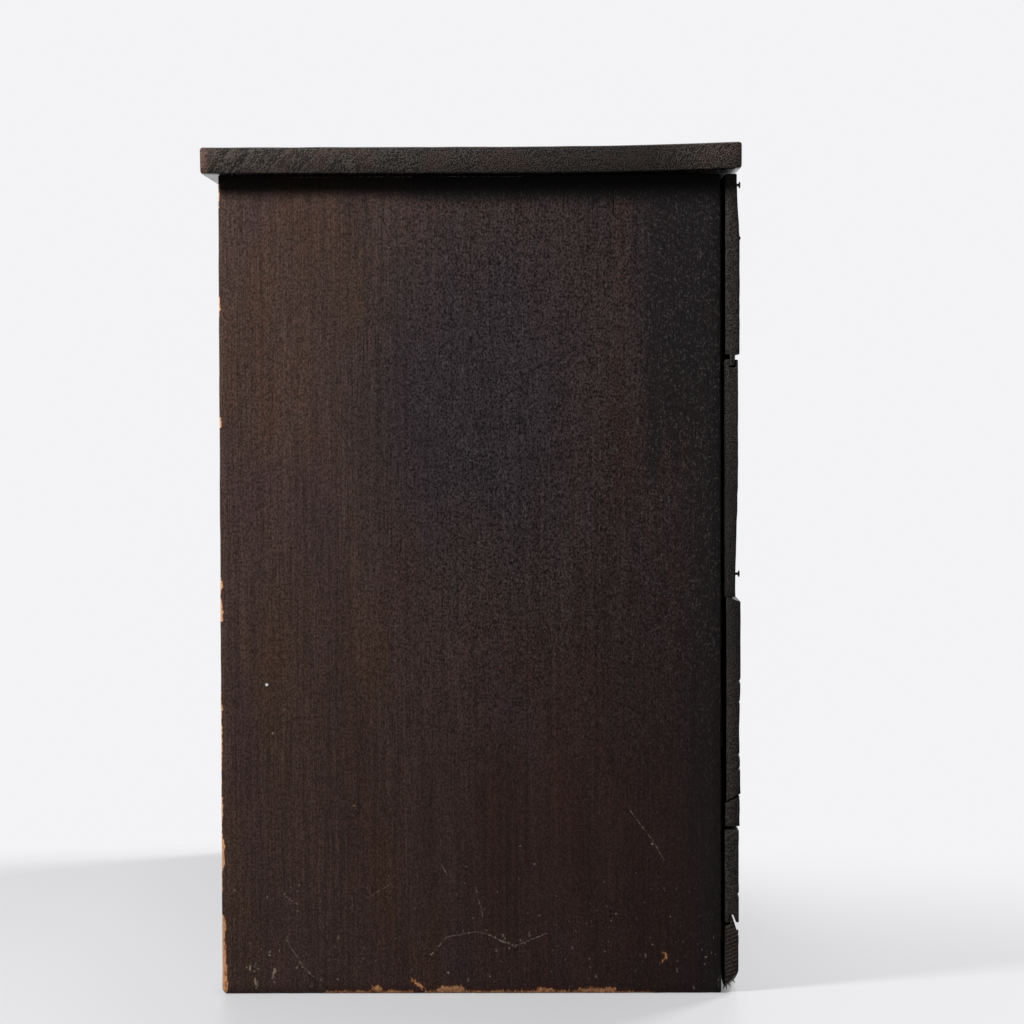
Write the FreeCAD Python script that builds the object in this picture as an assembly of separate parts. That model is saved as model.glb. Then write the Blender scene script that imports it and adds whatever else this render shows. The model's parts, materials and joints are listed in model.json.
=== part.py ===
import FreeCAD
import Part
import math
import os

# Apothecary chest: a nailed and housed pine carcase with twenty small drawers.
# Millimetres, +Z up, the drawers open towards -Y.
# The origin lies on the floor under the middle of the top board.

# Grid of drawer bays
columns = 5
rows = 4
bay_width = 180.0  # clear width between two partitions
bay_height = 144.0  # clear height between two shelves

# Carcase boards
side_thickness = 20.0
side_depth = 413.0
foot_radius = 5.0  # rounded front foot of a side panel
shelf_thickness = 14.0
partition_thickness = 14.0
bottom_thickness = 18.0
plinth_height = 40.0
plinth_thickness = 18.0
front_reveal = 10.0  # the bay grid stands back this far from the side panels' front edges
back_bearing = 2.5  # and stands out this far behind their back edges
housing_depth = 6.0  # shelf ends let into the side panels
stub_depth = 5.0  # partition feet let into the bottom board
joint_clearance = 0.1

# Top board
top_thickness = 22.0
top_side_overhang = 12.0
top_front_overhang = 14.0
top_back_overhang = 17.0
top_corner_radius = 3.0
top_flat_run = 250.0  # from the front edge to where the board starts to cup
top_cup_rise = 4.0  # lift of the back edge

# Back boards, listed from the floor up
back_thickness = 12.0
back_end_inset = 1.5  # board ends stop short of the side panels' outer faces
back_floor_clearance = 2.5
lowest_board_drop = 2.0  # top shoulder of the lowest board below the bottom board's upper face
middle_board_heights = (76.0, 188.0, 196.0)  # the top board is ripped to close what is left
board_stand_out = (1.0, 1.5, 2.4, 0.0, 0.5)  # behind the bearing edges, as each board has warped
shrinkage_gaps = (2.5, 4.0, 1.0, 3.8)  # between the shoulders of neighbouring boards
tongue_on_lower_board = (True, False, False, False)
tongue_thickness = 4.5
tongue_length = 9.0
tongue_clearance = 0.3
least_rip = 30.0  # narrowest strip worth nailing on
split_board = 2  # place of the board that has split along its length
split_strip_height = 21.5
split_gap = 0.6
split_strip_stand_out = 1.0
worn_heel_depth = 8.0  # lower back edge of the lowest board, worn away by tipping the chest
worn_heel_height = 12.0

# Nails
nail_head_radius = 2.2
nail_head_thickness = 1.0
nail_shank_radius = 1.1
nail_length = 38.0
nail_edge_distance = 19.0  # from a tongued or grooved edge
nail_top_distance = 9.0  # from the plain top edge
nail_backed_out = 2.0  # loose nails stand out of the board
top_nail_inset = 45.0  # from both ends of the top board's flat run

# Drawers
front_thickness = 18.0
front_lip = 9.0  # left in front of the rebated ends
front_side_gap = 1.0
front_bottom_gap = 0.8
front_top_gap = 1.5
drawer_side_gap = 1.2
drawer_tail_gap = 0.5  # to the bearing line of the back boards
box_side_thickness = 9.0
box_side_drop = 12.0  # sides end this far below the shelf above
box_back_thickness = 9.0
box_back_drop = 5.0  # back ends below the sides
box_back_inset = 8.0  # back stands in from the tail of the sides
box_back_housing = 4.0
box_bottom_thickness = 5.0
box_bottom_lift = 6.0
box_groove_depth = 4.0
box_groove_clearance = 0.2

# Turned knobs
knob_radius = 13.0
knob_projection = 17.0
knob_foot_radius = 8.5
knob_foot_height = 1.6
knob_neck_radius = 5.5
knob_rim_height = 11.5
knob_rim_round = 5.0  # underside of the head, rounded up to the rim
knob_spigot_radius = 5.0
knob_spigot_clearance = 0.15

# Levels and lines that follow
carcase_width = columns * bay_width + (columns - 1) * partition_thickness + 2 * side_thickness
side_outer = carcase_width / 2
side_inner = side_outer - side_thickness
shelf_end = side_inner + housing_depth
floor_of_bays = plinth_height + bottom_thickness
row_pitch = bay_height + shelf_thickness
column_pitch = bay_width + partition_thickness
side_height = floor_of_bays + rows * row_pitch - shelf_thickness
top_length = carcase_width + 2 * top_side_overhang
top_depth = side_depth + top_front_overhang + top_back_overhang
top_front = -top_depth / 2
top_back = top_depth / 2
side_front = top_front + top_front_overhang
side_back = side_front + side_depth
grid_front = side_front + front_reveal
grid_back = side_back + back_bearing
grid_middle = (grid_front + grid_back) / 2
tongue_line = grid_back + (back_thickness + max(board_stand_out)) / 2
box_tail = grid_back - drawer_tail_gap
box_outer = bay_width / 2 - drawer_side_gap
box_inner = box_outer - box_side_thickness
box_bottom_top = box_bottom_lift + box_bottom_thickness
box_side_height = bay_height - box_side_drop
box_front_face = grid_front + front_thickness
box_back_face = box_tail - box_back_inset - box_back_thickness


def block(low, high):
    """Return the box between two opposite corners."""
    size = [top - bottom for bottom, top in zip(low, high)]
    return Part.makeBox(*size, FreeCAD.Vector(*low))


def point(across, up):
    """Return a point of an outline drawn in the upright plane through the origin, seen from the side."""
    return FreeCAD.Vector(0, across, up)


def extrude_across(edges, start, length):
    """Sweep a closed side-view outline along X from the given start."""
    face = Part.Face(Part.Wire(edges))
    face.translate(FreeCAD.Vector(start, 0, 0))
    return face.extrude(FreeCAD.Vector(length, 0, 0))


def line(start, end):
    """Return a straight edge."""
    return Part.makeLine(start, end)


def arc(start, middle, end):
    """Return an arc edge through three points."""
    return Part.Arc(start, middle, end).toShape()


def shelf_levels():
    """Return the undersides of the shelves, lowest first."""
    return [floor_of_bays + row * row_pitch - shelf_thickness for row in range(1, rows)]


def partition_lines():
    """Return the middle planes of the partitions, left to right."""
    first = -side_inner + bay_width + partition_thickness / 2
    return [first + index * column_pitch for index in range(columns - 1)]


def side_panel(outward):
    """Side panel with stopped housings for the shelves and bottom board; outward is -1 left, +1 right."""
    foot_slant = foot_radius * (1 - math.sqrt(0.5))
    outline = [
        line(point(side_front + foot_radius, 0), point(side_back, 0)),
        line(point(side_back, 0), point(side_back, side_height)),
        line(point(side_back, side_height), point(side_front, side_height)),
        line(point(side_front, side_height), point(side_front, foot_radius)),
        arc(
            point(side_front, foot_radius),
            point(side_front + foot_slant, foot_slant),
            point(side_front + foot_radius, 0),
        ),
    ]
    start = side_inner if outward > 0 else -side_outer
    panel = extrude_across(outline, start, side_thickness)
    housings = [(level, shelf_thickness) for level in shelf_levels()]
    housings.append((plinth_height, bottom_thickness))
    inner_edge, outer_edge = sorted((outward * side_inner, outward * (shelf_end + joint_clearance)))
    for level, thickness in housings:
        low = (inner_edge, grid_front - joint_clearance, level)
        high = (outer_edge, side_back, level + thickness + joint_clearance)
        panel = panel.cut(block(low, high))
    return panel


def shelf(level):
    """Full-width shelf, slotted from behind for the partitions."""
    board = block((-shelf_end, grid_front, level), (shelf_end, grid_back, level + shelf_thickness))
    half_slot = partition_thickness / 2 + joint_clearance
    for middle in partition_lines():
        low = (middle - half_slot, grid_middle - joint_clearance, level)
        high = (middle + half_slot, grid_back, level + shelf_thickness)
        board = board.cut(block(low, high))
    return board


def partition(middle):
    """Upright partition, slotted from the front for the shelves and stubbed into the bottom board."""
    half = partition_thickness / 2
    low = (middle - half, grid_front, floor_of_bays - stub_depth)
    board = block(low, (middle + half, grid_back, side_height))
    for level in shelf_levels():
        slot_low = (middle - half, grid_front, level - joint_clearance)
        slot_high = (middle + half, grid_middle, level + shelf_thickness + joint_clearance)
        board = board.cut(block(slot_low, slot_high))
    return board


def bottom_board():
    """Bottom board with shallow housings for the partitions' feet."""
    board = block((-shelf_end, grid_front, plinth_height), (shelf_end, grid_back, floor_of_bays))
    half_slot = partition_thickness / 2 + joint_clearance
    for middle in partition_lines():
        low = (middle - half_slot, grid_front, floor_of_bays - stub_depth)
        high = (middle + half_slot, grid_back, floor_of_bays)
        board = board.cut(block(low, high))
    return board


def plinth_board():
    """Board under the front of the bottom board, between the side panels."""
    return block((-side_inner, grid_front, 0), (side_inner, grid_front + plinth_thickness, plinth_height))


def top_board():
    """Top board that lies flat in front and cups upwards towards the back."""
    bend = top_front + top_flat_run
    run = top_back - bend
    radius = (run ** 2 + top_cup_rise ** 2) / (2 * top_cup_rise)
    half_turn = math.asin(run / radius) / 2
    bow = point(bend + radius * math.sin(half_turn), side_height + radius * (1 - math.cos(half_turn)))
    up = point(0, top_thickness)
    front_low = point(top_front, side_height)
    bend_low = point(bend, side_height)
    back_low = point(top_back, side_height + top_cup_rise)
    outline = [
        line(front_low, bend_low),
        arc(bend_low, bow, back_low),
        line(back_low, back_low + up),
        arc(back_low + up, bow + up, bend_low + up),
        line(bend_low + up, front_low + up),
        line(front_low + up, front_low),
    ]
    board = extrude_across(outline, -top_length / 2, top_length)
    corners = [edge for edge in board.Edges if is_long_corner(edge)]
    return board.makeFillet(top_corner_radius, corners)


def is_long_corner(edge):
    """Tell whether an edge of the top board runs along its front or back."""
    box = edge.BoundBox
    on_rim = abs(box.YMin - top_front) < 0.01 or abs(box.YMax - top_back) < 0.01
    return on_rim and box.XLength > top_length / 2


def back_board_levels():
    """Return the lower and upper shoulder of each back board, lowest first."""
    top = side_height - joint_clearance
    heights = [floor_of_bays - lowest_board_drop - back_floor_clearance, *middle_board_heights]
    levels = []
    low = back_floor_clearance
    for height, gap in zip(heights, shrinkage_gaps):
        if low + height + gap + least_rip > top:
            break
        levels.append((low, low + height))
        low += height + gap
    return levels + [(low, top)]


def back_strip(low, high, stand_out):
    """Plain strip of a back board between two levels."""
    inner = grid_back + stand_out
    end = side_outer - back_end_inset
    return block((-end, inner, low), (end, inner + back_thickness, high))


def joint_strip(low, high, thickness):
    """Strip along the line of the tongues between two levels."""
    end = side_outer - back_end_inset
    half = thickness / 2
    return block((-end, tongue_line - half, low), (end, tongue_line + half, high))


def back_board(place, levels):
    """Solids of one back board with its tongues and grooves; place counts from the floor up."""
    low, high = levels[place]
    strips = [back_strip(low, high, board_stand_out[place])]
    if place == split_board:
        split = low + split_strip_height
        strips = [
            back_strip(low, split, split_strip_stand_out),
            back_strip(split + split_gap, high, board_stand_out[place]),
        ]
    groove_width = tongue_thickness + 2 * tongue_clearance
    if place > 0 and tongue_on_lower_board[place - 1]:
        strips[0] = strips[0].cut(joint_strip(low, low + tongue_length, groove_width))
    elif place > 0:
        tongue = joint_strip(low - tongue_length, low, tongue_thickness)
        strips[0] = strips[0].fuse(tongue).removeSplitter()
    if place < len(levels) - 1 and tongue_on_lower_board[place]:
        tongue = joint_strip(high, high + tongue_length, tongue_thickness)
        strips[-1] = strips[-1].fuse(tongue).removeSplitter()
    elif place < len(levels) - 1:
        strips[-1] = strips[-1].cut(joint_strip(high - tongue_length, high, groove_width))
    if place == 0:
        strips[0] = strips[0].cut(worn_heel())
    return strips


def worn_heel():
    """Wedge that is worn off the lower back edge of the lowest board."""
    outer = grid_back + board_stand_out[0] + back_thickness
    toe = point(outer - worn_heel_depth, back_floor_clearance)
    corner = point(outer, back_floor_clearance)
    heel = point(outer, back_floor_clearance + worn_heel_height)
    end = side_outer - back_end_inset
    return extrude_across([line(toe, corner), line(corner, heel), line(heel, toe)], -end, 2 * end)


def nail(head_point, direction):
    """Round nail whose head's outer face lies at the given point and which points along the direction."""
    head = Part.makeCylinder(nail_head_radius, nail_head_thickness, head_point, direction)
    shank = Part.makeCylinder(nail_shank_radius, nail_length, head_point, direction)
    return head.fuse(shank).removeSplitter()


def nail_columns():
    """Return the middle planes of the uprights that are nailed to, left to right."""
    beside = side_outer - side_thickness / 2
    return [-beside, *partition_lines(), beside]


def back_nail_rows(levels):
    """Return the height, board face and looseness of each row of nails in the back boards."""
    last = len(levels) - 1
    found = [(plinth_height + bottom_thickness / 2, board_stand_out[0], False)]
    for place, (low, high) in enumerate(levels[1:], start=1):
        upper = high - (nail_top_distance if place == last else nail_edge_distance)
        lower = low + nail_edge_distance
        stand_out = board_stand_out[place]
        if place == split_board:
            found.append((low + split_strip_height / 2, split_strip_stand_out, False))
            lower += split_strip_height + split_gap
        found.append((lower, stand_out, place == last - 1))
        found.append((upper, stand_out, place == last))
    return found


def back_nails(levels):
    """Nails of all the back boards; those on the right-hand edge of the loose rows have backed out."""
    inward = FreeCAD.Vector(0, -1, 0)
    columns_of_nails = nail_columns()
    nails = []
    for height, stand_out, loose in back_nail_rows(levels):
        face = grid_back + stand_out + back_thickness
        for across in columns_of_nails:
            out = nail_backed_out if loose and across == columns_of_nails[-1] else 0
            nails.append(nail(FreeCAD.Vector(across, face + out, height), inward))
    return nails


def top_nails():
    """Nails that hold the flat run of the top board down on the uprights."""
    downward = FreeCAD.Vector(0, 0, -1)
    upper_face = side_height + top_thickness
    depths = (top_front + top_nail_inset, top_front + top_flat_run - top_nail_inset)
    return [
        nail(FreeCAD.Vector(across, depth, upper_face), downward)
        for across in nail_columns()
        for depth in depths
    ]


def drawer_front():
    """Drawer front, drawn for a bay that starts at the origin's height, with rebated ends and a knob bore."""
    half = bay_width / 2 - front_side_gap
    low = front_bottom_gap
    high = bay_height - front_top_gap
    board = block((-half, grid_front, low), (half, box_front_face, high))
    rebate_face = grid_front + front_lip
    for inner, outer in ((-half, -box_inner), (box_inner, half)):
        board = board.cut(block((inner, rebate_face, low), (outer, box_front_face, high)))
    groove_top = box_bottom_top + box_groove_clearance
    groove_low = (-box_inner, box_front_face - box_groove_depth, box_bottom_lift)
    board = board.cut(block(groove_low, (box_inner, box_front_face, groove_top)))
    bore_start = FreeCAD.Vector(0, grid_front, bay_height / 2)
    bore_radius = knob_spigot_radius + knob_spigot_clearance
    bore = Part.makeCylinder(bore_radius, front_thickness, bore_start, FreeCAD.Vector(0, 1, 0))
    return board.cut(bore)


def drawer_knob():
    """Turned knob: a small foot, a waisted neck, a rounded rim and a flat dome, with a spigot behind."""

    def turned(radius, outward):
        """Return a point of the knob's profile, measured outwards from the drawer's face."""
        return FreeCAD.Vector(radius, grid_front - outward, bay_height / 2)

    neck_swell = (knob_foot_radius - knob_neck_radius) * 0.2
    neck_height = knob_rim_height - knob_rim_round
    neck_middle = turned(knob_neck_radius + neck_swell, (knob_foot_height + neck_height) / 2)
    rim_slant = knob_rim_round * (1 - math.sqrt(0.5))
    rim_middle = turned(knob_radius - rim_slant, neck_height + rim_slant)
    dome_rise = knob_projection - knob_rim_height
    dome_radius = (knob_radius ** 2 + dome_rise ** 2) / (2 * dome_rise)
    dome_turn = math.asin(knob_radius / dome_radius) / 2
    dome_middle = turned(
        dome_radius * math.sin(dome_turn), knob_projection - dome_radius * (1 - math.cos(dome_turn))
    )
    spigot_end = turned(0, -front_thickness)
    spigot_corner = turned(knob_spigot_radius, -front_thickness)
    spigot_root = turned(knob_spigot_radius, 0)
    foot_edge = turned(knob_foot_radius, 0)
    foot_top = turned(knob_foot_radius, knob_foot_height)
    neck = turned(knob_neck_radius, neck_height)
    underside = turned(knob_radius - knob_rim_round, neck_height)
    rim = turned(knob_radius, knob_rim_height)
    crown = turned(0, knob_projection)
    profile = Part.Wire(
        [
            line(spigot_end, spigot_corner),
            line(spigot_corner, spigot_root),
            line(spigot_root, foot_edge),
            line(foot_edge, foot_top),
            arc(foot_top, neck_middle, neck),
            line(neck, underside),
            arc(underside, rim_middle, rim),
            arc(rim, dome_middle, crown),
            line(crown, spigot_end),
        ]
    )
    return Part.Face(profile).revolve(spigot_end, FreeCAD.Vector(0, 1, 0), 360)


def drawer_side(outward):
    """Drawer side with a groove for the bottom and a housing for the back."""
    inner, outer = sorted((outward * box_inner, outward * box_outer))
    front = grid_front + front_lip
    board = block((inner, front, 0), (outer, box_tail, box_side_height))
    groove_near, groove_far = sorted((outward * box_inner, outward * (box_inner + box_groove_depth)))
    groove_top = box_bottom_top + box_groove_clearance
    board = board.cut(block((groove_near, front, box_bottom_lift), (groove_far, box_tail, groove_top)))
    near, far = sorted((outward * box_inner, outward * (box_inner + box_back_housing)))
    housing_low = (near, box_back_face - joint_clearance, box_bottom_top)
    housing_high = (far, box_back_face + box_back_thickness + joint_clearance, box_side_height)
    return board.cut(block(housing_low, housing_high))


def drawer_back():
    """Drawer back, let into both sides and standing on the bottom."""
    half = box_inner + box_back_housing - joint_clearance
    high = box_side_height - box_back_drop
    return block((-half, box_back_face, box_bottom_top), (half, box_back_face + box_back_thickness, high))


def drawer_bottom():
    """Drawer bottom, slid from behind into the grooves of the sides and front."""
    half = box_inner + box_groove_depth - box_groove_clearance
    front = box_front_face - box_groove_depth + box_groove_clearance
    middle = block((-half, box_front_face, box_bottom_lift), (half, box_tail, box_bottom_top))
    nose_half = box_inner - box_groove_clearance
    nose = block((-nose_half, front, box_bottom_lift), (nose_half, box_front_face, box_bottom_top))
    return middle.fuse(nose).removeSplitter()


def bay_corner(row, column):
    """Return the middle of a bay's floor line; rows count from the top, columns from the left."""
    across = -side_inner + bay_width / 2 + column * column_pitch
    level = floor_of_bays + (rows - 1 - row) * row_pitch
    return FreeCAD.Vector(across, 0, level)


def drawer_name(row, column):
    """Return a drawer's name: a letter for its row and a number for its column."""
    return "drawer_" + chr(ord("a") + row) + str(column + 1)


def export_node(name, solids):
    """Write one node; several solids go out as a group."""
    shape = solids[0] if len(solids) == 1 else Part.makeCompound(solids)
    shape.exportStep("parts/" + name + ".step")
    volume = sum(solid.Volume for solid in solids) / 1000
    print(f"{name}: {len(solids)} solids, {volume:.1f} cm3, valid {all(solid.isValid() for solid in solids)}")


def carcase_nodes():
    """Return the carcase's nodes by name."""
    levels = back_board_levels()
    nodes = {
        "top_board": [top_board()],
        "top_nails": top_nails(),
        "side_panel_left": [side_panel(-1)],
        "side_panel_right": [side_panel(1)],
        "bottom_board": [bottom_board()],
        "plinth_board": [plinth_board()],
        "back_board_nails": back_nails(levels),
    }
    for index, level in enumerate(reversed(shelf_levels()), start=1):
        nodes[f"shelf_{index}"] = [shelf(level)]
    for index, middle in enumerate(partition_lines(), start=1):
        nodes[f"partition_{index}"] = [partition(middle)]
    for place in range(len(levels)):
        nodes[f"back_board_{len(levels) - place}"] = back_board(place, levels)
    return nodes


def drawer_nodes():
    """Return the drawers' nodes by name, all copies of one drawer."""
    fronts = [drawer_front(), drawer_knob()]
    boxes = [drawer_side(-1), drawer_side(1), drawer_back(), drawer_bottom()]
    nodes = {}
    for row in range(rows):
        for column in range(columns):
            place = bay_corner(row, column)
            name = drawer_name(row, column)
            nodes[name + "_front"] = [solid.translated(place) for solid in fronts]
            nodes[name + "_box"] = [solid.translated(place) for solid in boxes]
    return nodes


def main():
    """Build every node and write it to its own file."""
    os.makedirs("parts", exist_ok=True)
    for name, solids in {**carcase_nodes(), **drawer_nodes()}.items():
        export_node(name, solids)


if __name__ == "__main__":
    main()
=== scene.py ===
"""Looks of an old apothecary chest: dark stained pine, worn and scratched, on a pale studio floor.

Every board is modelled in place, in metres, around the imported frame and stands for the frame's own
plain solid. Grain, growth rings, stain, wear and scratches are procedural and sized in millimetres.
"""

from __future__ import annotations

import json
import logging
import math
from contextlib import contextmanager
from dataclasses import dataclass, field
from enum import Enum
from typing import Any, Callable, Iterator

import bpy
import numpy as np
from mathutils import Matrix, Vector

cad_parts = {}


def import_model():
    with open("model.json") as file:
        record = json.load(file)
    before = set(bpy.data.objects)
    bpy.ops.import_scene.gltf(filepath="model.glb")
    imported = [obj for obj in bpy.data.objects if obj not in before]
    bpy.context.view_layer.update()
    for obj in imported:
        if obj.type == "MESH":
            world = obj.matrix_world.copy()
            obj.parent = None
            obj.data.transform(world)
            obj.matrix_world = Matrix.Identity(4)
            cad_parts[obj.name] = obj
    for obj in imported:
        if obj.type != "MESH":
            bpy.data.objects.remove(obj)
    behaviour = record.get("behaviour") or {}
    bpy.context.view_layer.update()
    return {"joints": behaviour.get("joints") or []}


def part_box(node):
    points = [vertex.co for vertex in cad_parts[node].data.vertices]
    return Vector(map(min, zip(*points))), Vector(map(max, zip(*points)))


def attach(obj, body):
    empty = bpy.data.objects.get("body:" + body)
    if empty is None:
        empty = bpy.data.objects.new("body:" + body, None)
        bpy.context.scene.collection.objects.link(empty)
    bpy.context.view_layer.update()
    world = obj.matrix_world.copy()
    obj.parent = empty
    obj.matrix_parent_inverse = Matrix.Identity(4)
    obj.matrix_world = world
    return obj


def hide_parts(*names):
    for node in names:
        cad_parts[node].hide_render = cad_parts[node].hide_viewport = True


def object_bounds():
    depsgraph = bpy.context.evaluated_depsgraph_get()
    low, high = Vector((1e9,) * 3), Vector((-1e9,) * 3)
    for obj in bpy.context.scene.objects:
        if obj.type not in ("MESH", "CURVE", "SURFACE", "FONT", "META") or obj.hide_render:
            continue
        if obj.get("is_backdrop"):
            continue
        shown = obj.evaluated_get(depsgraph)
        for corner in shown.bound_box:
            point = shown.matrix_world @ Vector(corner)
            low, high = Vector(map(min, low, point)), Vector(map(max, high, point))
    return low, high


log = logging.getLogger("chest")

MM = 0.001
CARCASE = "carcase"
WEAR = "wear"
UP = Vector((0.0, 0.0, 1.0))
# A face that looks this much along the grain shows end grain.
END_FACE = 0.75
# Edges that meet at more than this angle are rounded.
SHARP = math.radians(30)
# At a scale of 1, one wave of the wave texture is this long.
WAVE_LENGTH = math.tau / 20

Socket = bpy.types.NodeSocket
Tree = bpy.types.NodeTree


class Axis(Enum):
    """Direction of a board's grain."""

    X = 0
    Y = 1
    Z = 2


class Lie(Enum):
    """Plane that a board's outline is drawn in: its two directions, its facing and its turn."""

    FLAT = (0, 1, (0.0, 0.0, 1.0), (0.0, 0.0, 0.0))
    FACING = (0, 2, (0.0, -1.0, 0.0), (math.pi / 2, 0.0, 0.0))
    UPRIGHT = (1, 2, (1.0, 0.0, 0.0), (math.pi / 2, 0.0, math.pi / 2))

    @property
    def across(self) -> tuple[int, int]:
        """Indices of the two directions of the outline."""
        return self.value[0], self.value[1]

    @property
    def facing(self) -> Vector:
        """Direction that the outline's face looks in."""
        return Vector(self.value[2])

    @property
    def turn(self) -> tuple[float, float, float]:
        """Turn that brings a flat grid into this plane."""
        return self.value[3]


class Domain(Enum):
    """Kind of mesh element that is picked."""

    VERT = "vertices"
    EDGE = "edges"
    FACE = "polygons"


# Modelling


@contextmanager
def editing(piece: bpy.types.Object) -> Iterator[None]:
    """Hold one piece in edit mode with everything selected.

    Args:
        piece: The object to edit.
    """
    bpy.ops.object.select_all(action="DESELECT")
    piece.select_set(True)
    bpy.context.view_layer.objects.active = piece
    bpy.ops.object.mode_set(mode="EDIT")
    bpy.ops.mesh.select_mode(type="VERT")
    bpy.ops.mesh.select_all(action="SELECT")
    yield
    bpy.ops.object.mode_set(mode="OBJECT")


def pick(piece: bpy.types.Object, domain: Domain, wanted: Callable[[Any], bool]) -> int:
    """Select the elements of a piece in edit mode that pass a test.

    Args:
        piece: The object being edited.
        domain: Kind of element to select.
        wanted: Test on one element.

    Returns:
        How many elements were selected.
    """
    bpy.ops.mesh.select_mode(type=domain.name)
    bpy.ops.mesh.select_all(action="DESELECT")
    bpy.ops.object.mode_set(mode="OBJECT")
    found = 0
    for element in getattr(piece.data, domain.value):
        element.select = wanted(element)
        found += element.select
    bpy.ops.object.mode_set(mode="EDIT")
    return found


def cut_through(place: Vector, normal: Vector) -> None:
    """Cut everything of the piece in edit mode along a plane, and leave it whole.

    Args:
        place: A point of the plane.
        normal: The plane's normal.
    """
    bpy.ops.mesh.select_all(action="SELECT")
    bpy.ops.mesh.bisect(plane_co=place, plane_no=normal)


def apply_modifier(piece: bpy.types.Object, kind: str, **settings: Any) -> None:
    """Add a modifier to a piece and apply it.

    Args:
        piece: The object to change.
        kind: Blender's name of the modifier.
        **settings: Values set on the modifier.
    """
    bpy.context.view_layer.objects.active = piece
    modifier = piece.modifiers.new(kind.lower(), kind)
    for key, value in settings.items():
        setattr(modifier, key, value)
    bpy.ops.object.modifier_apply(modifier=modifier.name)


def join(pieces: list[bpy.types.Object], name: str) -> bpy.types.Object:
    """Join several meshes into the first one.

    Args:
        pieces: Objects to join.
        name: Name of the joined piece.

    Returns:
        The joined piece.
    """
    bpy.ops.object.select_all(action="DESELECT")
    for piece in pieces:
        piece.select_set(True)
    bpy.context.view_layer.objects.active = pieces[0]
    bpy.ops.object.join()
    pieces[0].name = name
    return pieces[0]


def twin(piece: bpy.types.Object, name: str, move: Matrix) -> bpy.types.Object:
    """Copy a piece to another place, with its own mesh.

    Args:
        piece: Object to copy.
        name: Name of the copy.
        move: Way from the piece to its copy.

    Returns:
        The copy, at the origin, with its place in its mesh.
    """
    copy = piece.copy()
    copy.data = piece.data.copy()
    copy.name = name
    copy.data.transform(move)
    bpy.context.scene.collection.objects.link(copy)
    return copy


def smooth(piece: bpy.types.Object, degrees: float = 35.0) -> None:
    """Shade a piece smooth where its faces meet at less than an angle.

    Args:
        piece: Object to shade.
        degrees: Angle from which an edge stays sharp.
    """
    bpy.ops.object.select_all(action="DESELECT")
    piece.select_set(True)
    bpy.context.view_layer.objects.active = piece
    bpy.ops.object.shade_smooth_by_angle(angle=math.radians(degrees))


@dataclass(frozen=True)
class Weathering:
    """How far and how deep handling has worn a board's edges, in metres."""

    reach: float = 9 * MM
    depth: float = 1.2 * MM
    lump: float = 14 * MM


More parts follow.
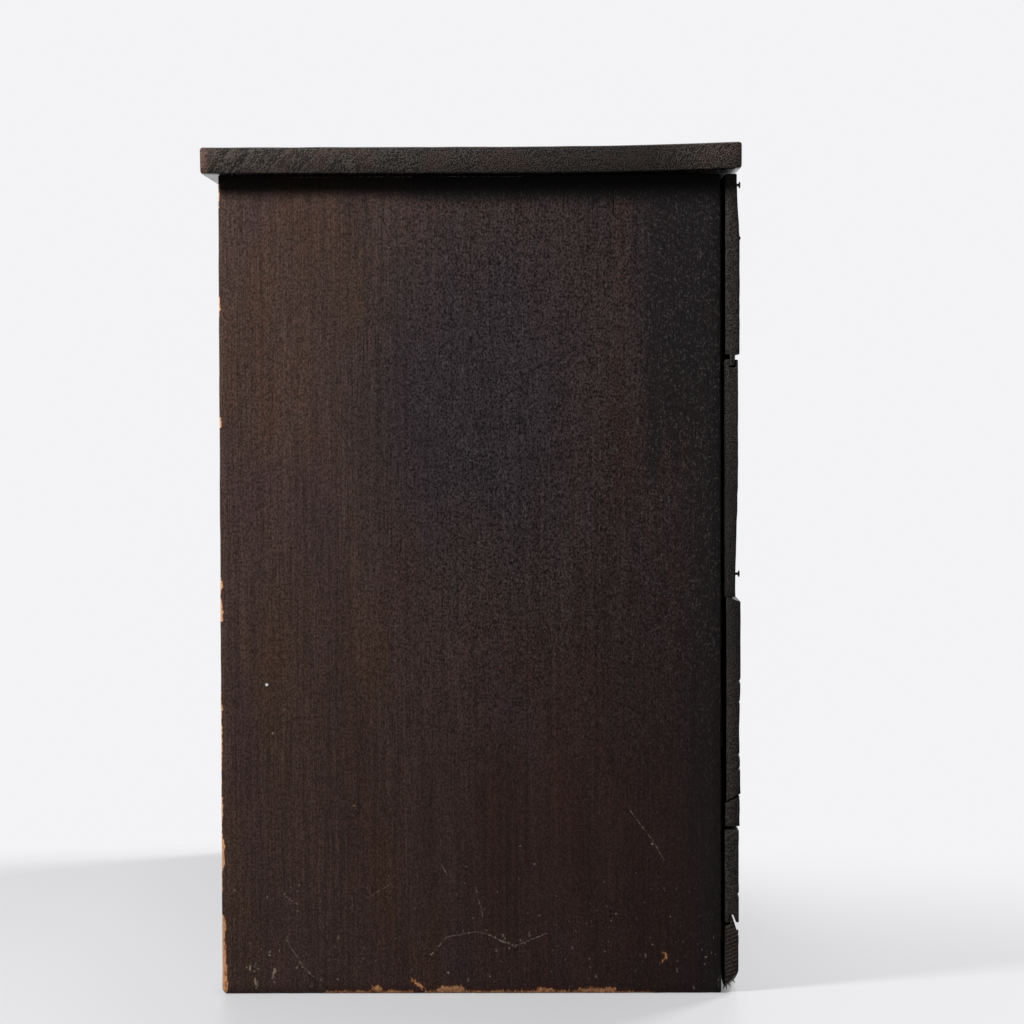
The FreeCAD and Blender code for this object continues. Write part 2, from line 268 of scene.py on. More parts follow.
@dataclass
class Board:
    """A board: a gridded outline, notched, thickened, rounded and worn along its edges."""

    name: str
    low: Vector
    high: Vector
    lie: Lie
    step: float = 12 * MM
    rounding: float = 1.2 * MM
    cross_step: float = 0.0
    notches: list[tuple[Vector, Vector]] = field(default_factory=list)
    weathering: Weathering = Weathering()

    def build(self) -> bpy.types.Object:
        """Model the board.

        Returns:
            The finished mesh object.
        """
        piece = self.blank()
        with editing(piece):
            self.cut_notches(piece)
            self.thicken()
            self.shape(piece)
            self.round_edges()
        self.mark_wear(piece)
        self.settle(piece)
        self.weather(piece)
        smooth(piece)
        return piece

    def blank(self) -> bpy.types.Object:
        """Lay the board's outline out as a grid on its facing side.

        Returns:
            The grid.
        """
        size = self.high - self.low
        first, second = self.lie.across
        middle = (self.low + self.high) / 2
        facing = Vector(d * s / 2 for d, s in zip(self.lie.facing, size))
        bpy.ops.object.select_all(action="DESELECT")
        bpy.ops.mesh.primitive_grid_add(
            x_subdivisions=max(2, round(size[first] / self.step)),
            y_subdivisions=max(2, round(size[second] / self.step)),
            size=1,
            location=middle + facing,
            rotation=self.lie.turn,
        )
        piece = bpy.context.object
        piece.name = self.name
        piece.data.name = self.name
        piece.scale = (size[first], size[second], 1)
        bpy.ops.object.transform_apply(location=True, rotation=True, scale=True)
        return piece

    def cut_notches(self, piece: bpy.types.Object) -> None:
        """Cut the notches out of the outline.

        Args:
            piece: The board in edit mode.
        """
        axes = self.lie.across
        for low, high in self.notches:
            for axis in axes:
                normal = Vector(float(index == axis) for index in range(3))
                for corner in (low, high):
                    cut_through(corner, normal)

            def inside(face: bpy.types.MeshPolygon) -> bool:
                """Tell whether a face lies in the notch."""
                return all(low[axis] < face.center[axis] < high[axis] for axis in axes)

            if pick(piece, Domain.FACE, inside):
                bpy.ops.mesh.delete(type="FACE")

    def thicken(self) -> None:
        """Extrude the outline to the board's thickness, with cuts across it where it is drawn end on."""
        facing = self.lie.facing
        depth = abs(facing.dot(self.high - self.low))
        bpy.ops.mesh.select_all(action="SELECT")
        bpy.ops.mesh.extrude_region_move(TRANSFORM_OT_translate={"value": -facing * depth})
        if self.cross_step:
            count = round(depth / self.cross_step)
            middle = (self.low + self.high) / 2
            for index in range(1, count):
                cut_through(middle + facing * depth * (index / count - 0.5), facing)
        bpy.ops.mesh.select_all(action="SELECT")
        bpy.ops.mesh.normals_make_consistent(inside=False)

    def shape(self, piece: bpy.types.Object) -> None:
        """Leave the sawn shape as it is; special boards are shaped further here."""

    def round_edges(self) -> None:
        """Round every sharp edge."""
        bpy.ops.mesh.select_mode(type="EDGE")
        bpy.ops.mesh.select_all(action="DESELECT")
        bpy.ops.mesh.edges_select_sharp(sharpness=SHARP)
        bpy.ops.mesh.bevel(offset=self.rounding, segments=2, profile=0.5, affect="EDGES")

    def mark_wear(self, piece: bpy.types.Object) -> None:
        """Store on each vertex how near it lies to an edge of the board, as an attribute and a group.

        Args:
            piece: The board.
        """
        places = np.empty(len(piece.data.vertices) * 3)
        piece.data.vertices.foreach_get("co", places)
        places = places.reshape(-1, 3)
        gaps = np.minimum(abs(places - np.array(self.low)), abs(np.array(self.high) - places))
        near = np.clip(1 - np.sort(gaps, axis=1)[:, 1] / self.weathering.reach, 0, 1)
        attribute = piece.data.attributes.new(WEAR, "FLOAT", "POINT")
        attribute.data.foreach_set("value", near)
        group = piece.vertex_groups.new(name=WEAR)
        for index in np.nonzero(near)[0]:
            group.add([int(index)], float(near[index]), "REPLACE")

    def settle(self, piece: bpy.types.Object) -> None:
        """Leave the board straight; warped boards are bent here."""

    def weather(self, piece: bpy.types.Object) -> None:
        """Wear the marked edges back unevenly.

        Args:
            piece: The board.
        """
        chips = bpy.data.textures.new(self.name + "_chips", "CLOUDS")
        chips.noise_scale = self.weathering.lump
        chips.noise_depth = 3
        chips.contrast = 1.8
        chips.intensity = 0.9
        chips.use_clamp = True
        apply_modifier(
            piece,
            "DISPLACE",
            texture=chips,
            texture_coords="LOCAL",
            vertex_group=WEAR,
            strength=-self.weathering.depth,
            mid_level=0.0,
        )
        piece.vertex_groups.clear()
        bpy.data.textures.remove(chips)


# Finishes


class Kind(Enum):
    """Kinds of shader node in use: Blender's name, its inputs in order, its output and its settings."""

    PLACE = ("TexCoord", (), "Object", {})
    LOOK = ("TexCoord", (), "Generated", {})
    X = ("SeparateXYZ", (0,), 0, {})
    Y = ("SeparateXYZ", (0,), 1, {})
    Z = ("SeparateXYZ", (0,), 2, {})
    POINT = ("CombineXYZ", (0, 1, 2), 0, {})
    DRAW_OUT = ("Mapping", (0, 3), 0, {})
    TURN = ("Mapping", (0, 2), 0, {})
    NOISE = ("TexNoise", ("Vector", "Scale", "Detail", "Roughness"), 0, {})
    SHAKE = ("TexNoise", ("Vector", "Scale", "Detail", "Roughness"), 1, {})
    CELL = ("TexVoronoi", ("Vector", "Scale"), "Distance", {})
    CELL_CHANCE = ("TexVoronoi", ("Vector", "Scale"), "Color", {})
    RINGS = (
        "TexWave",
        ("Vector", "Scale", "Distortion", "Detail", "Detail Scale"),
        1,
        {"wave_type": "RINGS", "rings_direction": "Z", "wave_profile": "SAW"},
    )
    RIDGES = (
        "TexWave",
        ("Vector", "Scale", "Distortion", "Detail", "Detail Scale"),
        1,
        {"wave_type": "BANDS", "bands_direction": "Y", "wave_profile": "SIN"},
    )
    CHANCE = ("TexWhiteNoise", ("Vector",), 0, {})
    CHANCES = ("TexWhiteNoise", ("Vector",), 1, {})
    WEAR = ("Attribute", (), "Fac", {"attribute_name": WEAR})
    MIX = ("Mix", (0, 6, 7), 2, {"data_type": "RGBA"})
    TINT = ("Mix", (0, 6, 7), 2, {"data_type": "RGBA", "blend_type": "MULTIPLY"})
    RED = ("SeparateColor", (0,), 0, {})
    STEP = ("MapRange", (0, 1, 2, 3, 4), 0, {"interpolation_type": "SMOOTHSTEP"})
    PLUS = ("Math", (0, 1), 0, {"operation": "ADD"})
    MINUS = ("Math", (0, 1), 0, {"operation": "SUBTRACT"})
    TIMES = ("Math", (0, 1), 0, {"operation": "MULTIPLY"})
    WEIGH_IN = ("Math", (0, 1, 2), 0, {"operation": "MULTIPLY_ADD"})
    SHARE = ("Math", (0, 1), 0, {"operation": "DIVIDE", "use_clamp": True})
    LEAST = ("Math", (0, 1), 0, {"operation": "MINIMUM"})
    MOST = ("Math", (0, 1), 0, {"operation": "MAXIMUM"})
    BELOW = ("Math", (0, 1), 0, {"operation": "LESS_THAN"})
    SIZE = ("Math", (0,), 0, {"operation": "ABSOLUTE"})
    SHIFT = ("VectorMath", (0, 1), 0, {"operation": "ADD"})
    FROM = ("VectorMath", (0, 1), 0, {"operation": "SUBTRACT"})
    STRETCH = ("VectorMath", (0, 1), 0, {"operation": "MULTIPLY"})
    SCALE = ("VectorMath", (0, "Scale"), 0, {"operation": "SCALE"})
    DOT = ("VectorMath", (0, 1), 1, {"operation": "DOT_PRODUCT"})
    GAP = ("VectorMath", (0, 1), 1, {"operation": "DISTANCE"})
    LENGTH = ("VectorMath", (0,), 1, {"operation": "LENGTH"})
    SNAP = ("VectorMath", (0, 1), 0, {"operation": "SNAP"})
    SIZES = ("VectorMath", (0,), 0, {"operation": "ABSOLUTE"})
    CARRY = ("VectorMath", (0, 1, 2), 0, {"operation": "MULTIPLY_ADD"})
    BUMP = ("Bump", ("Height", "Strength", "Distance"), 0, {})
    SURFACE = (
        "BsdfPrincipled", ("Base Color", "Roughness", "Normal", "Specular IOR Level", "Metallic"), 0, {}
    )
    GLOW = ("Emission", (0, 1), 0, {})
    SKY = ("Background", (0, 1), 0, {})
    CAMERA_RAY = ("LightPath", (), "Is Camera Ray", {})
    GLOSSY_RAY = ("LightPath", (), "Is Glossy Ray", {})
    CLEAR_RAY = ("LightPath", (), "Is Transmission Ray", {})
    DIFFUSE_RAY = ("LightPath", (), "Is Diffuse Ray", {})
    MIX_SURFACE = ("MixShader", (0, 1, 2), 0, {})
    OUTPUT = ("OutputMaterial", (0,), None, {})
    WORLD_OUTPUT = ("OutputWorld", (0,), None, {})


def add(tree: Tree, kind: Kind, *inputs: Any) -> Socket | None:
    """Add a node with its settings and links.

    Args:
        tree: Node tree to add to.
        kind: Kind of node.
        *inputs: Value or output socket for each of the kind's inputs, in order.

    Returns:
        The kind's output, if it has one.
    """
    title, sockets, output, settings = kind.value
    node = tree.nodes.new("ShaderNode" + title)
    for key, value in settings.items():
        setattr(node, key, value)
    for socket, value in zip(sockets, inputs):
        if isinstance(value, Socket):
            tree.links.new(value, node.inputs[socket])
        else:
            node.inputs[socket].default_value = value
    return None if output is None else node.outputs[output]


def linear(code: str) -> tuple[float, float, float, float]:
    """Turn an sRGB hex colour to linear.

    Args:
        code: Colour such as "#3a2b26".

    Returns:
        Linear red, green, blue and an alpha of 1.
    """
    levels = [int(code[place : place + 2], 16) / 255 for place in (1, 3, 5)]
    red, green, blue = (
        level / 12.92 if level <= 0.04045 else ((level + 0.055) / 1.055) ** 2.4 for level in levels
    )
    return red, green, blue, 1.0


def blank_finish(name: str) -> tuple[bpy.types.Material, Tree]:
    """Make an empty material.

    Args:
        name: The material's name.

    Returns:
        The material and its node tree.
    """
    material = bpy.data.materials.new(name)
    material.use_nodes = True
    material.node_tree.nodes.clear()
    return material, material.node_tree


def grain_space(tree: Tree, grain: Axis, shift: tuple[float, float, float]) -> Socket:
    """Give the piece's own coordinates with the grain along their third direction.

    Args:
        tree: Node tree to add to.
        grain: Direction of the grain.
        shift: Offset, so that two boards differ.

    Returns:
        The coordinates, in metres.
    """
    place = add(tree, Kind.PLACE)
    order = ((Kind.Y, Kind.Z, Kind.X), (Kind.Z, Kind.X, Kind.Y), (Kind.X, Kind.Y, Kind.Z))[grain.value]
    turned = add(tree, Kind.POINT, *(add(tree, part, place) for part in order))
    return add(tree, Kind.SHIFT, turned, shift)


def streaks(
    tree: Tree, space: Socket, width: float, length: float, detail: float = 4.0, rough: float = 0.6
) -> Socket:
    """Give an uneven pattern that is drawn out along the grain.

    Args:
        tree: Node tree to add to.
        space: Coordinates along the grain.
        width: Width of one streak in millimetres.
        length: Length of one streak in millimetres.
        detail: Finer layers in it.
        rough: Weight of the finer layers.

    Returns:
        A value around 0.5.
    """
    scale = (1 / (width * MM), 1 / (width * MM), 1 / (length * MM))
    return add(tree, Kind.NOISE, add(tree, Kind.DRAW_OUT, space, scale), 1.0, detail, rough)


def laid_over(
    tree: Tree, colour: Socket | tuple[float, ...], shade: str, pattern: Socket, *limits: Socket | float
) -> Socket:
    """Lay a shade over a colour as far as a pattern goes.

    Args:
        tree: Node tree to add to.
        colour: Colour so far.
        shade: Colour that is laid over it.
        pattern: What the shade follows.
        *limits: Where in the pattern the shade starts and is full, and its share at both.

    Returns:
        The colour with the shade.
    """
    return add(tree, Kind.MIX, add(tree, Kind.STEP, pattern, *limits), colour, linear(shade))


def shaken(tree: Tree, space: Socket, spacing: float, reach: float) -> Socket:
    """Shift coordinates about unevenly.

    Args:
        tree: Node tree to add to.
        space: Coordinates.
        spacing: Size of one wave of the shift in millimetres.
        reach: Largest shift in millimetres.

    Returns:
        The shifted coordinates.
    """
    shake = add(tree, Kind.SHAKE, space, 1 / (spacing * MM), 3.0, 0.5)
    shake = add(tree, Kind.SHIFT, shake, (-0.5, -0.5, -0.5))
    return add(tree, Kind.SHIFT, space, add(tree, Kind.SCALE, shake, 2 * reach * MM))


def growth_rings(
    tree: Tree, space: Socket, spacing: float, pith: tuple[float, float], wander: float
) -> Socket:
    """Give the tree's yearly rings, which run out into flames along a flat-sawn board.

    Args:
        tree: Node tree to add to.
        space: Coordinates along the grain.
        spacing: Width of a ring in millimetres.
        pith: Middle of the tree across the grain, in metres.
        wander: How far the rings wander along the grain, in metres.

    Returns:
        0 in early wood, rising to 1 in late wood.
    """
    slow = add(tree, Kind.DRAW_OUT, space, (6.0, 6.0, 2.2))
    drift = add(tree, Kind.SHIFT, add(tree, Kind.SHAKE, slow, 1.0, 2.0, 0.5), (-0.5, -0.5, -0.5))
    moved = add(tree, Kind.SHIFT, space, add(tree, Kind.SCALE, drift, 2 * wander))
    centred = add(tree, Kind.FROM, moved, (*pith, 0.0))
    return add(tree, Kind.RINGS, centred, WAVE_LENGTH / (spacing * MM), 1.2, 2.0, 0.6)


def specks(tree: Tree, space: Socket, spacing: float, size: float, share: Socket | float) -> Socket:
    """Give small scattered specks, a little longer than wide.

    Args:
        tree: Node tree to add to.
        space: Coordinates along the grain.
        spacing: Distance between places for a speck in millimetres.
        size: Largest half width of a speck in millimetres.
        share: Share of the places that hold a speck.

    Returns:
        1 on a speck.
    """
    drawn = add(tree, Kind.DRAW_OUT, space, (1.0, 1.0, 0.6))
    near = add(tree, Kind.CELL, drawn, 1 / (spacing * MM))
    near = add(tree, Kind.STEP, near, size / spacing, 0.5 * size / spacing)
    chance = add(tree, Kind.RED, add(tree, Kind.CELL_CHANCE, drawn, 1 / (spacing * MM)))
    return add(tree, Kind.TIMES, near, add(tree, Kind.BELOW, chance, share))


@dataclass(frozen=True)
class Mark:
    """A scratch, chip, crack or dot: points across and up in mm, and its half width in mm."""

    path: tuple[tuple[float, float], ...]
    half_width: float


def nearest_mark(tree: Tree, place: Socket, marks: tuple[Mark, ...]) -> Socket | float:
    """Give the distance from a place on a face that looks along X to the rim of the nearest mark.

    Args:
        tree: Node tree to add to.
        place: Place on the face, in metres, with nothing along X.
        marks: The marks.

    Returns:
        Distance in metres, below 0 on a mark.
    """
    nearest: Socket | float = 1.0
    for mark in marks:
        points = [Vector((0.0, *point)) * MM for point in mark.path]
        for tail, head in zip(points, points[1:] or points):
            run = head - tail
            if run.length:
                reach = add(tree, Kind.FROM, place, tail)
                share = add(tree, Kind.SHARE, add(tree, Kind.DOT, reach, run), run.length_squared)
                gap = add(tree, Kind.GAP, reach, add(tree, Kind.SCALE, run, share))
            else:
                gap = add(tree, Kind.GAP, place, tail)
            nearest = add(tree, Kind.LEAST, nearest, add(tree, Kind.MINUS, gap, mark.half_width * MM))
            # Each mark waits for the one before it: the renderer holds only so many values at once.
            place = add(tree, Kind.CARRY, nearest, (1e-9, 0.0, 0.0), place)
    return nearest


@dataclass(frozen=True)
class StainedPine:
    """Pine, planed and stained dark: close fibres, soft rings, blotched stain, bare wood at worn edges."""

    name: str
    grain: Axis
    early: str = "#433631"
    late: str = "#2b2322"
    blotch: str = "#241d1d"
    bare: str = "#a9703f"
    bare_dark: str = "#7d4c2b"
    ring_mm: float = 5.0
    ring_weight: float = 0.16
    fibre_mm: float = 1.1
    grit_mm: tuple[float, float] = (1.8, 4.0)
    cloud_mm: tuple[float, float] = (90.0, 420.0)
    brush_mm: tuple[float, float] = (3.2, 160.0)
    rub_mm: tuple[float, float] = (16.0, 70.0)
    blotch_share: float = 0.4
    grit: float = 0.55
    brush: float = 0.14
    relief: float = 0.55
    worn: float = 0.5
    rough: float = 0.52
    shine: float = 0.22
    dull_above: float | None = None
    dull_run: float = 4 * MM
    dulling: float = 0.35
    pith: tuple[float, float] = (0.05, -0.11)
    shift: tuple[float, float, float] = (0.0, 0.0, 0.0)
    pitch: tuple[float, float] | None = None
    pitch_start: tuple[float, float] = (0.0, 0.0)

    def material(self) -> bpy.types.Material:
        """Build the finish.

        Returns:
            The material.
        """
        material, tree = blank_finish(self.name)
        space = grain_space(tree, self.grain, self.shift)
        chance = None
        if self.pitch:
            space, chance = self.own_board(tree, space)
        fibre = streaks(tree, space, self.fibre_mm, 28 * self.fibre_mm)
        rings = growth_rings(tree, space, self.ring_mm, self.pith, 14 * MM)
        # Pores are a few tenths of a millimetre wide; they are drawn coarser, so that they still show.
        speckle = streaks(tree, space, *self.grit_mm, 3.0, 0.75)
        clouds = streaks(tree, space, *self.cloud_mm, 3.0)
        brushed = streaks(tree, add(tree, Kind.SHIFT, space, (0.6, 0.2, 0.4)), *self.brush_mm)
        figure = add(tree, Kind.WEIGH_IN, rings, self.ring_weight, add(tree, Kind.TIMES, fibre, 0.9))
        colour = self.stain(tree, add(tree, Kind.STEP, figure, 0.28, 0.72), chance)
        colour = laid_over(tree, colour, self.blotch, clouds, 0.4, 0.72, 0.0, self.blotch_share)
        grit = add(tree, Kind.STEP, speckle, 0.36, 0.64, -1.0, 1.0)
        grit = add(tree, Kind.WEIGH_IN, grit, self.gritty(tree), 1.0)
        brushed = add(tree, Kind.STEP, brushed, 0.3, 0.7, 1 - self.brush, 1 + self.brush)
        grit = add(tree, Kind.TIMES, grit, brushed)
        colour = add(tree, Kind.TINT, 1.0, colour, add(tree, Kind.POINT, grit, grit, grit))
        bare = self.bare_wood(tree, space, fibre)
        ground = add(tree, Kind.MIX, fibre, linear(self.bare), linear(self.bare_dark))
        colour = add(tree, Kind.MIX, bare, colour, ground)
        colour, dents = self.marked(tree, colour, space)
        gloss = add(tree, Kind.WEIGH_IN, speckle, 0.3, self.rough - 0.15)
        gloss = add(tree, Kind.WEIGH_IN, bare, 0.2, gloss)
        if self.dull_above:
            height = add(tree, Kind.Z, add(tree, Kind.PLACE))
            top = self.dull_above + self.dull_run
            gloss = add(
                tree, Kind.PLUS, gloss, add(tree, Kind.STEP, height, self.dull_above, top, 0.0, self.dulling)
            )
        relief = add(tree, Kind.WEIGH_IN, fibre, 0.6, add(tree, Kind.TIMES, speckle, 0.5))
        relief = add(tree, Kind.WEIGH_IN, bare, -0.7, relief)
        relief = add(tree, Kind.MINUS, relief, dents)
        bump = add(tree, Kind.BUMP, relief, self.relief, 0.7 * MM)
        add(tree, Kind.OUTPUT, add(tree, Kind.SURFACE, colour, gloss, bump, self.shine))
        return material

    def own_board(self, tree: Tree, space: Socket) -> tuple[Socket, Socket]:
        """Give each board of a regular set its own figure and its own shade.

        Args:
            tree: Node tree to add to.
            space: Coordinates with the grain along X, so that they hold depth, height and width.

        Returns:
            The moved coordinates, and a chance value from 0 to 1 for each board.
        """
        started = add(tree, Kind.FROM, space, (0.0, self.pitch_start[1], self.pitch_start[0]))
        cell = add(tree, Kind.SNAP, started, (10.0, self.pitch[1], self.pitch[0]))
        jump = add(tree, Kind.SCALE, add(tree, Kind.CHANCES, cell), 3.0)
        return add(tree, Kind.SHIFT, space, jump), add(tree, Kind.CHANCE, cell)

    def stain(self, tree: Tree, figure: Socket, chance: Socket | None) -> Socket:
        """Colour the figure with the stain.

        Args:
            tree: Node tree to add to.
            figure: 0 in early wood and 1 in late wood.
            chance: Shade of each board of a set, if it belongs to one.

        Returns:
            The stained colour.
        """
        colour = add(tree, Kind.MIX, figure, linear(self.early), linear(self.late))
        if chance:
            shade = add(tree, Kind.STEP, chance, 0.0, 1.0, 0.0, 0.45)
            colour = add(tree, Kind.MIX, shade, colour, linear(self.blotch))
        return colour

    def gritty(self, tree: Tree) -> Socket | float:
        """Give how strongly the pores speckle the stain, here the same all over."""
        return self.grit

    def bare_wood(self, tree: Tree, space: Socket, fibre: Socket) -> Socket:
        """Tell where handling has worn the stain off the board's edges.

        Args:
            tree: Node tree to add to.
            space: Coordinates along the grain.
            fibre: The fibre pattern.

        Returns:
            1 on bare wood.
        """
        rub = streaks(tree, space, *self.rub_mm, 5.0, 0.7)
        reach = add(tree, Kind.TIMES, add(tree, Kind.PLUS, add(tree, Kind.WEAR), rub), 0.62)
        reach = add(tree, Kind.WEIGH_IN, fibre, 0.12, reach)
        start = 1.2 - 0.28 * self.worn
        return add(tree, Kind.STEP, reach, start, start + 0.1)

    def marked(self, tree: Tree, colour: Socket, space: Socket) -> tuple[Socket, Socket | float]:
        """Leave the board unmarked; a finish with its own scratches draws them here.

        Args:
            tree: Node tree to add to.
            colour: Colour so far.
            space: Coordinates along the grain.

        Returns:
            The colour with the marks, and how deep they are.
        """
        return colour, 0.0


@dataclass(frozen=True)
class PanelMarks:
    """Marks on a side panel's outer face, in mm from its front edge and from the floor."""

    edge_wear: tuple[Mark, ...] = ()
    patches: tuple[Mark, ...] = ()
    scratches: tuple[Mark, ...] = ()
    dots: tuple[Mark, ...] = ()
    holes: tuple[Mark, ...] = ()
    paint: tuple[Mark, ...] = ()


def strokes(half_width: float, *paths: tuple[tuple[float, float], ...]) -> tuple[Mark, ...]:
    """Give several marks of one half width.

    Args:
        half_width: Their half width in millimetres.
        *paths: Points of each mark in millimetres.

    Returns:
        The marks.
    """
    return tuple(Mark(path, half_width) for path in paths)


def spots(half_width: float, *places: tuple[float, float]) -> tuple[Mark, ...]:
    """Give several round marks of one half width, in millimetres."""
    return strokes(half_width, *((place,) for place in places))


RIGHT_MARKS = PanelMarks(
    edge_wear=(
        *strokes(3.3, ((0, 3), (0, 62))),
        *strokes(4.4, ((0, 4), (0, 22))),
        *strokes(2.0, ((0, 106), (0, 127))),
        *strokes(0.7, ((0, 84), (0, 104)), ((0, 127), (0, 250)), ((0, 560), (0, 575))),
        *strokes(1.3, ((0, 310), (0, 344)), ((0, 470), (0, 476)), ((0, 650), (0, 667))),
    ),
    patches=(
        *strokes(1.6, ((86, 0.6), (123, 0.6)), ((132, 0.8), (158, 0.8))),
        *strokes(0.7, ((340, 0.6), (357, 0.4))),
        *strokes(
            1.3, ((168, 1), (180, 1)), ((200, 1.2), (262, 1)), ((272, 1.2), (296, 1.2)), ((324, 1), (340, 1))
        ),
        *strokes(2.5, ((126, 4), (130, 4)), ((262, 2), (272, 2)), ((296, 2), (324, 2))),
        *strokes(1.1, ((158, 11), (168, 3))),
        *strokes(3.4, ((182, 3), (197, 3))),
        *strokes(0.5, ((364.2, 34.4), (366.6, 32.6), (367.0, 29.6), (364.4, 26.6))),
    ),
    scratches=(
        *strokes(0.3, ((60, 674), (96, 674)), ((110, 674), (160, 674)), ((178, 674), (250, 674))),
        *strokes(0.3, ((53.4, 45.3), (57.2, 38.3), (65.9, 24.1), (74.6, 14.9), (84.9, 10))),
        *strokes(
            0.22, ((121, 80), (129, 84.4), (140, 91)), ((108, 80.6), (108, 68.6)), ((53, 80.6), (63, 74))
        ),
        *strokes(
            0.4,
            ((173, 32), (186, 46.8), (210, 51.2), (218.7, 49.7), (233.5, 42.3), (242.4, 39.3), (269, 49.7)),
        ),
        *strokes(0.8, ((231, 43.6), (243, 39.4))),
        *strokes(
            0.3,
            ((210, 88), (215.8, 64.5)),
            ((181.8, 107.3), (186.3, 98.4)),
            ((338, 151), (357, 126), (366, 110)),
        ),
        *strokes(0.55, ((86, 3), (86, 0)), ((44.6, 19), (41.8, 13)), ((29.4, 10), (29, 4))),
        *strokes(0.5, ((410.5, 12), (411, 5)), ((28, 26), (27, 22)), ((66, 24), (66.5, 22))),
    ),
    dots=(
        *strokes(0.8, ((23, 23), (23, 20)), ((44, 20.3), (42.6, 16.5)), ((27.2, 12), (27.8, 7))),
        *spots(0.6, (42, 14.8), (26.6, 18.4), (29.6, 20.6), (20.4, 21.8), (28, 4.4), (43.2, 9.6)),
        *spots(0.6, (226, 46.4), (238, 37.4), (247, 44), (222, 48.6), (251, 41.4), (234, 45.6)),
        *spots(0.9, (39.3, 35), (39.3, 32.2), (62, 21.4), (400.3, 29.8), (187, 17), (356, 124)),
        *spots(0.6, (47.4, 35.5), (37.7, 80.6), (10.5, 86), (64, 90), (52, 83), (95.8, 11.7)),
        *spots(0.6, (356, 40.3), (399, 24), (326, 66), (322, 60), (370.8, 63.5), (316.5, 34.5)),
        *spots(0.6, (304, 28.8), (43, 216), (109.6, 156), (246.8, 122), (258.6, 107.3), (221.5, 14)),
    ),
    holes=(
        *spots(1.0, (322, 67.7), (322, 63.7)),
        *spots(0.8, (393, 9.8), (322.3, 8.3), (230, 10)),
        *strokes(0.5, ((325, 641), (325, 676))),
    ),
    paint=spots(1.2, (38.1, 256)),
)
LEFT_MARKS = PanelMarks(
    edge_wear=(
        *strokes(2.6, ((0, 3), (0, 34))),
        *strokes(1.4, ((0, 70), (0, 96)), ((0, 402), (0, 431))),
        *strokes(0.7, ((0, 140), (0, 300))),
    ),
    patches=(
        *strokes(0.9, ((60, 0.6), (190, 0.8)), ((260, 0.6), (330, 0.8))),
        *strokes(2.2, ((214, 2), (228, 2))),
    ),
    scratches=(
        *strokes(0.3, ((96, 62), (118, 37), (127, 30)), ((280, 140), (301, 171)), ((330, 52), (371, 44))),
        *strokes(0.4, ((150, 20), (176, 33), (190, 31))),
    ),
    dots=spots(0.7, (70, 30), (133, 71), (301, 22), (352, 96)),
)


